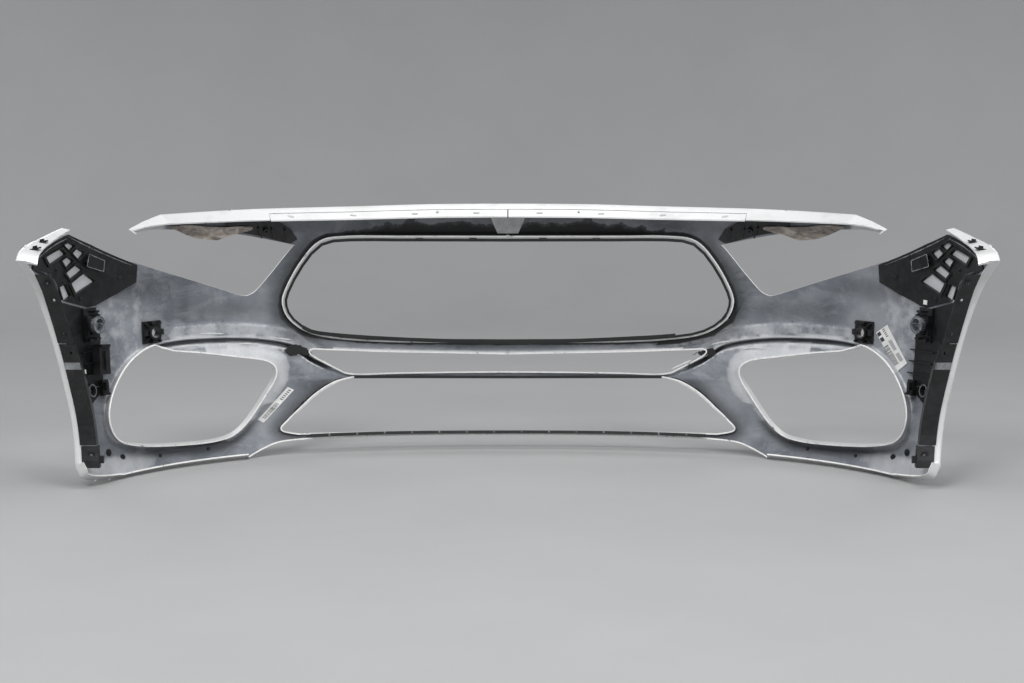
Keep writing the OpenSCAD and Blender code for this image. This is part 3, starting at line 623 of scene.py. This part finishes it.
# ---------------------------------------------------------------- materials
class Nodes:
    """Short way to write a node tree."""

    def __init__(self, name):
        self.mat = bpy.data.materials.new(name)
        self.mat.use_nodes = True
        self.tree = self.mat.node_tree
        self.tree.nodes.clear()
        self.out = self.add("ShaderNodeOutputMaterial")
        self.bsdf = self.add("ShaderNodeBsdfPrincipled")
        self.link(self.bsdf.outputs[0], self.out.inputs[0])
        self.coord = self.add("ShaderNodeTexCoord").outputs["Object"]

    def add(self, kind, **values):
        node = self.tree.nodes.new(kind)
        for key, value in values.items():
            setattr(node, key, value)
        return node

    def link(self, a, b):
        self.tree.links.new(a, b)

    def set(self, **values):
        for key, value in values.items():
            self.bsdf.inputs[key.replace("_", " ")].default_value = value

    def noise(self, scale, detail=4.0, rough=0.55, stretch=None, distortion=0.0):
        node = self.add("ShaderNodeTexNoise")
        node.inputs["Scale"].default_value = scale
        node.inputs["Detail"].default_value = detail
        node.inputs["Roughness"].default_value = rough
        node.inputs["Distortion"].default_value = distortion
        vec = self.coord
        if stretch:
            mapping = self.add("ShaderNodeMapping")
            mapping.inputs["Scale"].default_value = stretch
            self.link(self.coord, mapping.inputs[0])
            vec = mapping.outputs[0]
        self.link(vec, node.inputs["Vector"])
        return node.outputs["Fac"]

    def ramp(self, value, stops):
        node = self.add("ShaderNodeValToRGB")
        bar = node.color_ramp
        while len(bar.elements) < len(stops):
            bar.elements.new(0.5)
        for element, (place, colour) in zip(bar.elements, stops):
            element.position = place
            element.color = (*colour, 1) if len(colour) == 3 else (colour[0],) * 3 + (1,)
        self.link(value, node.inputs[0])
        return node.outputs[0]

    def math(self, kind, a, b, clamp=False):
        node = self.add("ShaderNodeMath", operation=kind, use_clamp=clamp)
        for socket, value in ((node.inputs[0], a), (node.inputs[1], b)):
            if isinstance(value, (int, float)):
                socket.default_value = value
            else:
                self.link(value, socket)
        return node.outputs[0]

    def mix(self, factor, a, b, blend="MIX"):
        node = self.add("ShaderNodeMix", data_type="RGBA", blend_type=blend)
        for socket, value in ((node.inputs[0], factor), (node.inputs[6], a), (node.inputs[7], b)):
            if isinstance(value, (int, float)):
                socket.default_value = value
            elif isinstance(value, tuple):
                socket.default_value = (*value, 1)
            else:
                self.link(value, socket)
        return node.outputs[2]

    def attribute(self, name):
        node = self.add("ShaderNodeAttribute", attribute_name=name)
        return node.outputs["Fac"]

    def colour(self, value):
        self.link(value, self.bsdf.inputs["Base Color"])

    def rough(self, value, low, high):
        node = self.add("ShaderNodeMapRange")
        node.inputs[3].default_value = low
        node.inputs[4].default_value = high
        self.link(value, node.inputs[0])
        self.link(node.outputs[0], self.bsdf.inputs["Roughness"])

    def bump(self, value, strength, distance):
        node = self.add("ShaderNodeBump")
        node.inputs["Strength"].default_value = strength
        node.inputs["Distance"].default_value = distance
        self.link(value, node.inputs["Height"])
        self.link(node.outputs[0], self.bsdf.inputs["Normal"])


def paint_material():
    """Silver-white clear-coated paint with flake, faint orange peel and grime."""
    n = Nodes("silver_paint")
    flake = n.noise(2600, 1.0, 0.5)
    grime = n.noise(7, 6.0, 0.6)
    streak = n.noise(16, 5.0, 0.6, stretch=(1, 1, 0.3))
    base = n.ramp(flake, [(0.35, (0.70, 0.71, 0.71)), (0.65, (0.82, 0.82, 0.81))])
    dirt = n.ramp(grime, [(0.52, (1, 1, 1)), (0.78, (0.72, 0.71, 0.69))])
    base = n.mix(0.8, base, dirt, "MULTIPLY")
    wear = n.ramp(streak, [(0.60, (0, 0, 0)), (0.68, (1, 1, 1))])
    base = n.mix(n.math("MULTIPLY", wear, 0.18), base, (0.35, 0.36, 0.37))
    n.colour(base)
    n.set(Metallic=0.25, Coat_Weight=0.8, Coat_Roughness=0.06)
    n.rough(grime, 0.28, 0.46)
    n.bump(n.noise(420, 2.0), 0.05, 0.0004)
    return n.mat


def primer_material():
    """Grey primer inside, with silver drifts, painted shade as a smooth darkening, painted highlights
    and a torn black band.
    """
    n = Nodes("primer_overspray")
    soot, rag = n.attribute("soot"), n.attribute("rag")
    shade, silver = n.attribute("shade"), n.attribute("silver")
    cloud = n.noise(4.5, 8.0, 0.6, distortion=0.5)
    drift = n.noise(15, 8.0, 0.66, stretch=(1, 1, 2.0), distortion=0.8)
    torn = n.noise(30, 6.0, 0.60, stretch=(1, 1, 0.9))
    fine = n.noise(230, 4.0, 0.7)
    speck = n.noise(1000, 2.0, 0.6)
    base = n.ramp(cloud, [(0.32, (0.115, 0.130, 0.150)), (0.47, (0.20, 0.217, 0.242)),
                          (0.58, (0.29, 0.307, 0.335)), (0.72, (0.40, 0.418, 0.445))])
    base = n.mix(n.ramp(drift, [(0.46, (0, 0, 0)), (0.64, (0.5, 0.5, 0.5))]), base,
                 (0.42, 0.435, 0.46))
    # Silver overspray and painted highlights lighten the primer, with a torn edge.
    ragged = n.math("ADD", silver, n.math("MULTIPLY", n.math("SUBTRACT", torn, 0.5), 0.55))
    base = n.mix(n.ramp(ragged, [(0.42, (0, 0, 0)), (0.52, (0.5, 0.5, 0.5)), (0.8, (1, 1, 1))]),
                 base, (0.70, 0.71, 0.725))
    # Painted shade: the shade attribute darkens the primer smoothly towards near black.
    painted_shade = n.math("MULTIPLY", shade, n.math("ADD", 0.82, n.math("MULTIPLY", drift, 0.36)), True)
    base = n.mix(painted_shade, base, (0.022, 0.024, 0.027))
    base = n.mix(n.math("MULTIPLY", fine, 0.28), base, (0.10, 0.105, 0.115))
    dust = n.ramp(speck, [(0.62, (0, 0, 0)), (0.72, (0.4, 0.4, 0.4))])
    base = n.mix(dust, base, (0.50, 0.51, 0.53))
    jag = n.math("MULTIPLY", n.math("SUBTRACT", torn, 0.5), n.math("MULTIPLY", rag, 3.2))
    edge = n.math("ADD", soot, jag)
    base = n.mix(n.ramp(edge, [(0.490, (0, 0, 0)), (0.500, (0.90, 0.90, 0.90)),
                               (0.60, (1, 1, 1))]), base,
                 n.ramp(edge, [(0.50, (0.040, 0.043, 0.046)), (0.62, (0.008, 0.008, 0.009))]))
    n.colour(base)
    n.set(Metallic=0.2)
    n.rough(drift, 0.34, 0.60)
    mixed = n.math("ADD", n.math("MULTIPLY", fine, 0.7), n.math("MULTIPLY", drift, 1.2))
    n.bump(mixed, 0.22, 0.0008)
    return n.mat


def edge_material():
    """Cut edge of the moulding: white paint worn back to the plastic."""
    n = Nodes("painted_edge")
    chips = n.noise(60, 5.0, 0.7)
    base = n.ramp(chips, [(0.40, (0.84, 0.84, 0.82)), (0.62, (0.70, 0.70, 0.69)),
                          (0.70, (0.12, 0.12, 0.125))])
    n.colour(base)
    n.rough(chips, 0.35, 0.6)
    n.bump(n.noise(500, 3.0), 0.15, 0.0004)
    return n.mat


def plastic_material(name, dark, light, roughness, grain, sheen=0.0):
    """Moulded plastic with a fine grain, scuffs and dust."""
    n = Nodes(name)
    scuff = n.noise(38, 8.0, 0.7, distortion=1.0)
    texture = n.noise(grain, 2.0, 0.5)
    dust = n.noise(9, 6.0, 0.6)
    base = n.ramp(scuff, [(0.42, dark), (0.62, light)])
    grey = tuple(min(1.0, 0.03 + c * 1.8) for c in light)
    base = n.mix(n.ramp(dust, [(0.56, (0, 0, 0)), (0.8, (0.3, 0.3, 0.3))]), base, grey)
    n.colour(base)
    n.rough(scuff, roughness - 0.08, roughness + 0.14)
    n.set(Sheen_Weight=sheen)
    n.bump(n.math("ADD", texture, n.math("MULTIPLY", scuff, 0.4)), 0.35, 0.0005)
    return n.mat


def film_material():
    """Thin smoked shield film with brown haze and creases."""
    n = Nodes("smoked_film")
    haze = n.noise(24, 6.0, 0.65, stretch=(1, 1, 2.4), distortion=1.4)
    crease = n.noise(55, 7.0, 0.7, stretch=(1, 1, 3.0), distortion=2.0)
    base = n.ramp(haze, [(0.32, (0.11, 0.095, 0.085)), (0.48, (0.30, 0.255, 0.22)),
                         (0.60, (0.50, 0.44, 0.39)), (0.74, (0.78, 0.74, 0.70))])
    n.colour(base)
    n.set(Coat_Weight=0.4, Coat_Roughness=0.2)
    n.rough(crease, 0.22, 0.5)
    n.bump(crease, 0.8, 0.003)
    return n.mat


def collar_material():
    """Smooth silver-grey plastic with a clear gloss."""
    n = Nodes("grey_gloss")
    swirl = n.noise(45, 5.0, 0.6, distortion=1.5)
    n.colour(n.ramp(swirl, [(0.35, (0.12, 0.13, 0.15)), (0.65, (0.46, 0.48, 0.51))]))
    n.set(Metallic=0.7, Coat_Weight=0.6, Coat_Roughness=0.05)
    n.rough(swirl, 0.12, 0.3)
    n.bump(n.noise(700, 2.0), 0.06, 0.0003)
    return n.mat


def label_material(name, tone):
    """Printed paper film, slightly soiled."""
    n = Nodes(name)
    fibre = n.noise(350, 4.0, 0.6)
    soil = n.noise(35, 5.0, 0.6)
    base = n.ramp(soil, [(0.4, tone), (0.75, tuple(c * 0.82 for c in tone))])
    n.colour(n.mix(n.math("MULTIPLY", fibre, 0.1), base, tuple(c * 0.6 for c in tone)))
    n.rough(soil, 0.38, 0.55)
    n.bump(fibre, 0.1, 0.0003)
    return n.mat


def felt_material():
    n = Nodes("grey_felt")
    fibre = n.noise(800, 6.0, 0.75, distortion=2.0)
    blotch = n.noise(40, 5.0, 0.6)
    base = n.ramp(blotch, [(0.35, (0.42, 0.43, 0.43)), (0.7, (0.66, 0.67, 0.67))])
    n.colour(n.mix(n.math("MULTIPLY", fibre, 0.35), base, (0.16, 0.165, 0.17)))
    n.set(Sheen_Weight=0.3, Sheen_Roughness=0.5)
    n.rough(fibre, 0.8, 0.98)
    n.bump(fibre, 0.6, 0.001)
    return n.mat


PAINT = paint_material()
PRIMER = primer_material()
EDGE = edge_material()
BLACK = plastic_material("black_grained_plastic", (0.004, 0.0042, 0.0045),
                         (0.013, 0.0135, 0.0145), 0.34, 1500)
SATIN = plastic_material("black_satin_plastic", (0.006, 0.0063, 0.007),
                         (0.022, 0.023, 0.025), 0.28, 900)
RUBBER = plastic_material("black_rubber", (0.003, 0.003, 0.003), (0.010, 0.010, 0.010), 0.60, 1100, 0.05)
FILM = film_material()
COLLAR = collar_material()
LABEL = label_material("label_film", (0.80, 0.80, 0.78))
INK = label_material("label_ink", (0.05, 0.05, 0.055))
GREY_INK = label_material("label_grey_ink", (0.42, 0.42, 0.43))
FELT = felt_material()
SHINY_GREY = plastic_material("peeled_grey", (0.10, 0.105, 0.11), (0.24, 0.25, 0.26), 0.30, 700)

# ---------------------------------------------------------------- the skin
verts, faces, param, on_flange = build_skin()
skin_obj = make_object("cover_skin_panel", verts, faces, [PAINT, PRIMER, EDGE], SOFT_EDGE)
for field, values in shade_fields(param, on_flange).items():
    layer = skin_obj.data.attributes.new(field, "FLOAT", "POINT")
    layer.data.foreach_set("value", values.astype(np.float32))
face_outward(skin_obj, forward=True)
mirror = skin_obj.modifiers.new("mirror", "MIRROR")
mirror.merge_threshold = 0.0004
solid = skin_obj.modifiers.new("wall", "SOLIDIFY")
solid.thickness = WALL * MM
solid.offset = -1
solid.material_offset = 1
solid.material_offset_rim = 2
solid.use_even_offset = False
solid.use_quality_normals = True
apply_modifiers(skin_obj)
# The skin stays inside the CAD's box
for vertex in skin_obj.data.vertices:
    vertex.co = [min(max(c, low + 1e-5), high - 1e-5) for c, low, high in zip(vertex.co, *CAD_BOX)]
finish_mesh(skin_obj, SOFT_EDGE)
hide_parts(*[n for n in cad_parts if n.startswith(("skin_", "cover_skin"))])

# ---------------------------------------------------------------- CAD nodes that stay
NODE_LOOK = {
    "upper_rail": PAINT, "headlamp_bracket": SATIN, "headlamp_shield": FILM,
    "corner_bracket": BLACK, "arch_rail": BLACK, "arch_channel": BLACK, "arch_foot": BLACK,
    "side_carrier": BLACK, "side_sensor_holder": SATIN, "side_sensor_collar": COLLAR,
    "front_sensor_holder": BLACK, "intake_clip": BLACK, "cable_box": BLACK,
    "grille_rim_seal": RUBBER, "grille_lower_strip": RUBBER, "mid_bar_trim": RUBBER,
    "lower_bar_trim": RUBBER, "centre_pad": FELT, "seal_patch": RUBBER,
    "lower_grommets": RUBBER, "part_label": LABEL, "bracket_tag": LABEL,
    "fender_clips": BLACK, "bracket_rivets": SATIN}
# Pieces that are soft, thin or replaced; the others get a small round that catches the light
NOT_ROUNDED = ("part_label", "bracket_tag", "centre_pad", "seal_patch", "headlamp_shield", "skin_")
for name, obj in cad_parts.items():
    base = name.replace("_left", "").replace("_right", "")
    if base in NODE_LOOK:
        if not obj.data.materials:
            obj.data.materials.append(None)
        for slot in obj.material_slots:
            slot.link = "OBJECT"
            slot.material = NODE_LOOK[base]
    if not name.startswith(NOT_ROUNDED):
        bevel = obj.modifiers.new("edge_round", "BEVEL")
        bevel.width, bevel.segments = 0.0005, 2
        bevel.limit_method, bevel.angle_limit = "ANGLE", math.radians(38)

# ---------------------------------------------------------------- wrinkled shields
SHIELD = [(700, 503), (655, 478), (614, 471), (580, 481), (540, 491), (546, 499), (610, 499),
          (660, 505)]


def wrinkle(u, z):
    """Extra depth of the film at a place on the surface: broad waves and sharp creases."""
    coarse = noise.noise(Vector((u * 0.035, z * 0.10, 1.7)))
    crease = abs(noise.noise(Vector((u * 0.09, z * 0.2, 4.1))))
    return 2.2 * coarse + 2.4 * crease - 0.6


for side, tag in SIDES:
    shield = surface_plate("smoked_shield_" + tag, [smooth(SHIELD + SHIELD[:1], 4)[:-1]], 8.2, 0.8,
                           FILM, side, 4.0, wave=wrinkle)
    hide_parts("headlamp_shield_" + tag)

# ---------------------------------------------------------------- side brackets: flap, and painted highlights along lips and edges
# Outlines and lines in the side view, as (y, z)
FLAP = [(-66, 456), (-30, 440), (-31, 418), (-71, 431)]
LIP = [(-232, 446), (-212, 458), (-160, 478), (-120, 490)]
TOP_LINE = [(-116, 494), (-66, 471), (-20, 449), (30, 425)]
CURL = [(-206, 431), (-186, 424), (-170, 415), (-160, 405), (-155, 394), (-154, 382)]
DIVIDER = [(-100, 193), (-82, 190), (-62, 187)]
RING = [(-90 + 10.5 * math.cos(a), 182 + 12 * math.sin(a)) for a in np.linspace(0, math.tau, 25)]
ARCH_LINE = np.array(smooth(ARCH))
# Painted highlight: a light grey plate across the arch channel, for the lit top face of its step.
# Heights, insets and distances behind the arch edge
STEP_Z, STEP_INSET, STEP_REACH = (237, 251), (14.5, 45.5), (3.5, 4.3)
TIP_PLUG = [(741 + 3.4 * math.cos(a), 505 + 3.4 * math.sin(a)) for a in np.arange(0, math.tau, 0.4)]
HIGHLIGHT_STRIP_THICK = 0.7        # thickness of the thin light strips that are painted highlights along edges


def frame_of(pts, width):
    """Four bands along the sides of an outline."""
    ring = pts + pts[:1]
    return [band(divide([a, b], 6.0), width, 0.2) for a, b in zip(ring, ring[1:])]


def painted_highlight_strip(name, line, width, wave, depth, side, fine):
    """Painted highlight: a thin light strip with pointed ends along a line in the side view."""
    outline = band(divide(line, fine), width, wave, 0.6)
    surface_plate(name, [outline], depth, HIGHLIGHT_STRIP_THICK, COLLAR, side, fine, from_side)


def arch_edge(z):
    y = float(np.interp(-z, -ARCH_LINE[:, 1], ARCH_LINE[:, 0]))
    return outer(np.array(p_of_y(y, z)), np.array(float(z)))


def arch_plate(name, heights, inset, reach, mat, side):
    """Thin plate behind the arch edge, between two insets and two distances behind the edge."""
    rows = [arch_edge(z) for z in np.linspace(*heights, 5)]
    corners = ((inset[0], reach[0]), (inset[1], reach[0]), (inset[1], reach[1]), (inset[0], reach[1]))
    verts = [((e[0] - i) * side * MM, (e[1] - r) * MM, e[2] * MM) for e in rows for i, r in corners]
    faces = [(0, 1, 2, 3), (19, 18, 17, 16)]
    faces += [(4 * k + j, 4 * k + 4 + j, 4 * k + 4 + (j + 1) % 4, 4 * k + (j + 1) % 4)
              for k in range(4) for j in range(4)]
    make_object(name, verts, faces, [mat], 30)


# Painted highlights: thin grey gloss strips along the rail curl, the carrier's ring and divider, the
# pocket flap's rim, the flange lip and the bracket's top bead.
for side, tag in SIDES:
    painted_highlight_strip("rail_curl_" + tag, smooth(CURL, 4), 2.0, 0.3, 9.4, side, 4.0)
    surface_plate("carrier_ring_lip_" + tag, [band(RING, 1.8)], 14.6, 0.5, COLLAR, side, 4.0,
                  from_side)
    surface_plate("carrier_divider_" + tag, [band(divide(DIVIDER, 4.0), 1.3, 0.3)], 7.5, 0.5, COLLAR,
                  side, 4.0, from_side)
    # Painted highlight on the step of the arch channel.
    arch_plate("channel_step_" + tag, STEP_Z, STEP_INSET, STEP_REACH, SHINY_GREY, side)
    surface_plate("tip_plug_" + tag, [TIP_PLUG], 3.1, 0.5, RUBBER, side, 2.0)
    surface_plate("pocket_flap_" + tag, [FLAP], 13.0, 1.6, BLACK, side, 7.0, from_side)
    surface_plate("pocket_flap_rim_" + tag, frame_of(FLAP, 1.6), 14.8, 0.5, COLLAR, side, 6.0,
                  from_side)
    painted_highlight_strip("flange_lip_" + tag, smooth(LIP, 4), 2.0, 0.3, 7.4, side, 6.0)
    painted_highlight_strip("bracket_top_bead_" + tag, TOP_LINE, 1.6, 0.4, 7.0, side, 6.0)

# ---------------------------------------------------------------- worn paint and overspray
RIGHT_DASHES = [[(441, 234), (462, 240), (483, 244)], [(357, 178), (374, 186), (398, 198)],
                [(507, 229), (530, 231), (551, 231)]]
LEFT_DASHES = [[(653, 270), (628, 269), (605, 266)], [(508, 252), (487, 249), (466, 245)],
               [(695, 245), (672, 247), (649, 245)], [(576, 243), (554, 242), (532, 239)],
               [(419, 204), (400, 195), (381, 184)]]
SLOT_TOP = [(0, 208.5), (90, 209), (236, 214.5), (330, 219), (378, 222)]
LOWER_EDGE = smooth([(345, 159), (374, 153), (414, 131), (449, 101), (474, 76)], 4)
# Clips along the lower bar: places across, half width and heights
CLIP_X, CLIP_HALF, CLIP_LOW, CLIP_TOP = range(30, 430, 60), 1.6, 34, 39.2
BLOB = [(401, 207), (412, 216), (422, 206), (433, 212), (436, 205), (454, 215), (443, 227),
        (419, 219)]
BLOB_LEFT = [(423, 211), (440, 209), (452, 214), (470, 211), (484, 222), (470, 237), (452, 232),
             (436, 226)]
PEEL = [(352, 238), (352, 223), (398, 229), (457, 249), (486, 274), (470, 300), (450, 269),
        (443, 257), (387, 235)]


def streaks(name, lines, width, mat, side, depth, wave=0.5, fine=4.0):
    """Thin runs of paint along the given lines."""
    outlines = [band(divide(line, fine), width, wave, 0.8) for line in lines]
    surface_plate(name, outlines, depth, 0.35, mat, side, fine)


def ragged(pts, amount):
    """Closed outline with a torn edge."""
    ring = divide(pts + pts[:1], 3.0)[:-1]
    return [tuple(q + np.array((dice.uniform(-1, 1), dice.uniform(-1, 1))) * amount) for q in ring]


streaks("ridge_dashes_right", RIGHT_DASHES, 2.6, PAINT, 1, 7.5)
streaks("ridge_dashes_left", LEFT_DASHES, 2.6, PAINT, -1, 7.5)
for side, tag in SIDES:
    streaks("slot_edge_light_" + tag, [SLOT_TOP], 2.4, PAINT, side, 4.2, 0.3, 9.0)
    streaks("lower_edge_dark_" + tag, [LOWER_EDGE], 5.0, RUBBER, side, 5.2, 0.5, 6.0)
    inner_edge = [q - np.array((3, 3)) for q in LOWER_EDGE[2:-2]]
    streaks("lower_edge_light_" + tag, [inner_edge], 1.6, PAINT, side, 12.5, 0.4, 6.0)
clips = [[(x - CLIP_HALF, CLIP_LOW), (x + CLIP_HALF, CLIP_LOW), (x + CLIP_HALF, CLIP_TOP),
          (x - CLIP_HALF, CLIP_TOP)] for x in CLIP_X]
for side, tag in SIDES:
    surface_plate("lower_bar_clips_" + tag, clips, 19.2, 0.8, SHINY_GREY, side, 12.0)
surface_plate("torn_overspray_right", [ragged(BLOB, 1.6)], 9.0, 0.4, RUBBER, 1, 3.0)
surface_plate("torn_overspray_left", [ragged(BLOB_LEFT, 1.8)], 9.0, 0.4, RUBBER, -1, 3.0)
surface_plate("peeled_patch", [ragged(PEEL, 1.0)], 3.3, 0.4, SHINY_GREY, 1, 3.0)

# ---------------------------------------------------------------- printing on the labels
PRINT_DEPTH, PRINT_THICK, PRINT_MESH = 4.72, 0.12, 12.0
# Labels: one corner, then the steps along the length and across the width
TALL_LABEL = ((757, 283), (36, -72), (19, 19))
SLIM_LABEL = ((474, 144), (61, -65), (-13, -7))


def on_label(origin, ahead, up, boxes):
    """Rectangles given along a label's length and width, as outlines on the surface."""
    o, a, b = np.array(origin, float), np.array(ahead, float), np.array(up, float)
    out = []
    for s0, s1, t0, t1 in boxes:
        out.append([tuple(o + a * s + b * t) for s, t in ((s0, t0), (s1, t0), (s1, t1), (s0, t1))])
    return out


def bar_code(start, end, low, high, count):
    """Bars of uneven width between two places along a label."""
    boxes, s = [], start
    pitch = (end - start) / count
    for _ in range(count):
        boxes.append((s, s + pitch * dice.uniform(0.3, 0.7), low, high))
        s += pitch
    return boxes


def print_on(name, label, boxes, ink, side):
    surface_plate(name, on_label(*label, boxes), PRINT_DEPTH, PRINT_THICK, ink, side, PRINT_MESH)


print_on("label_code_right", TALL_LABEL, bar_code(0.42, 0.92, 0.12, 0.48, 16)
         + [(0.06, 0.15, 0.15, 0.42), (0.20, 0.30, 0.15, 0.42)]
         + [(k * 0.045 + 0.06, k * 0.045 + 0.08, 0.62, 0.8) for k in range(5)], INK, 1)
print_on("label_blocks_right", TALL_LABEL, [(0.36, 0.62, 0.6, 0.86), (0.70, 0.90, 0.6, 0.86)],
         GREY_INK, 1)
print_on("label_code_left", SLIM_LABEL, bar_code(0.48, 0.94, 0.2, 0.8, 18)
         + [(k * 0.055 + 0.06, k * 0.055 + 0.085, 0.3, 0.7) for k in range(6)], INK, -1)

# ---------------------------------------------------------------- stage, light and camera
FLOOR_Z = CAD_BOX[0][2]
FLOOR_BACK, FLOOR_HALF_W = -6.0, 7.0
BEND_START, BEND_R, WALL_TOP = 2.6, 1.2, 5.0
SUBJECT = (0, 0, 0.3)
# Lights: place, target, size and power
LIGHTS = {
    "key": ((-1.4, -3.2, 3.0), SUBJECT, (1.8, 1.2), 95),
    "fill": ((2.4, -3.0, 2.2), SUBJECT, (1.6, 1.4), 60),
    "top": ((0, -0.5, 3.2), (0, 0, 0), (3.0, 1.6), 60),
    "front_left": ((-2.6, 3.2, 2.2), SUBJECT, (2.0, 2.0), 30),
    "front_right": ((2.8, 3.0, 2.4), SUBJECT, (2.0, 2.0), 30)}
SKY, SKY_STRENGTH = (0.9, 0.93, 1.0, 1), 0.28
VIEW_ELEVATION, VIEW_DISTANCE, TARGET_Y, TARGET_Z = 7.0, 4.2, -0.01, 0.272
LENS, SENSOR_W, LENS_SHIFT = 72.74, 36, 0.004


def stage_floor():
    """Floor that bends up into a wall beyond the object."""
    profile = [(FLOOR_BACK, 0.0), (BEND_START, 0.0)]
    profile += [(BEND_START + BEND_R * math.sin(a), BEND_R * (1 - math.cos(a)))
                for a in np.linspace(0.1, math.pi / 2, 12)]
    profile.append((BEND_START + BEND_R, WALL_TOP))
    verts = [(sx * FLOOR_HALF_W, y, z + FLOOR_Z) for y, z in profile for sx in (-1, 1)]
    faces = [(2 * i, 2 * i + 1, 2 * i + 3, 2 * i + 2) for i in range(len(profile) - 1)]
    n = Nodes("pale_floor")
    n.colour(n.ramp(n.noise(3.0), [(0.3, (0.345, 0.345, 0.345)), (0.7, (0.36, 0.36, 0.36))]))
    n.set(Roughness=0.9)
    obj = make_object("studio_floor", verts, faces, [n.mat], 60, None)


def area_light(name, place, target, size, power):
    data = bpy.data.lights.new(name, "AREA")
    data.shape = "RECTANGLE"
    data.size, data.size_y = size
    data.energy = power
    obj = bpy.data.objects.new(name, data)
    obj.location = place
    obj.rotation_euler = (Vector(target) - Vector(place)).to_track_quat("-Z", "Y").to_euler()
    bpy.context.scene.collection.objects.link(obj)


stage_floor()
for name, setup in LIGHTS.items():
    area_light(name, *setup)
world = bpy.data.worlds.new("studio")
world.use_nodes = True
background = world.node_tree.nodes["Background"]
background.inputs[0].default_value = SKY
background.inputs[1].default_value = SKY_STRENGTH
bpy.context.scene.world = world
bpy.context.scene.view_settings.view_transform = "Standard"

camera_data = bpy.data.cameras.new("camera")
camera_data.lens = LENS
camera_data.sensor_width = SENSOR_W
camera_data.shift_x = LENS_SHIFT
camera = bpy.data.objects.new("camera", camera_data)
tilt = math.radians(VIEW_ELEVATION)
camera.location = (0, TARGET_Y - VIEW_DISTANCE * math.cos(tilt),
                   TARGET_Z + VIEW_DISTANCE * math.sin(tilt))
camera.rotation_euler = (math.radians(90 - VIEW_ELEVATION), 0, 0)
bpy.context.scene.collection.objects.link(camera)
bpy.context.scene.camera = camera
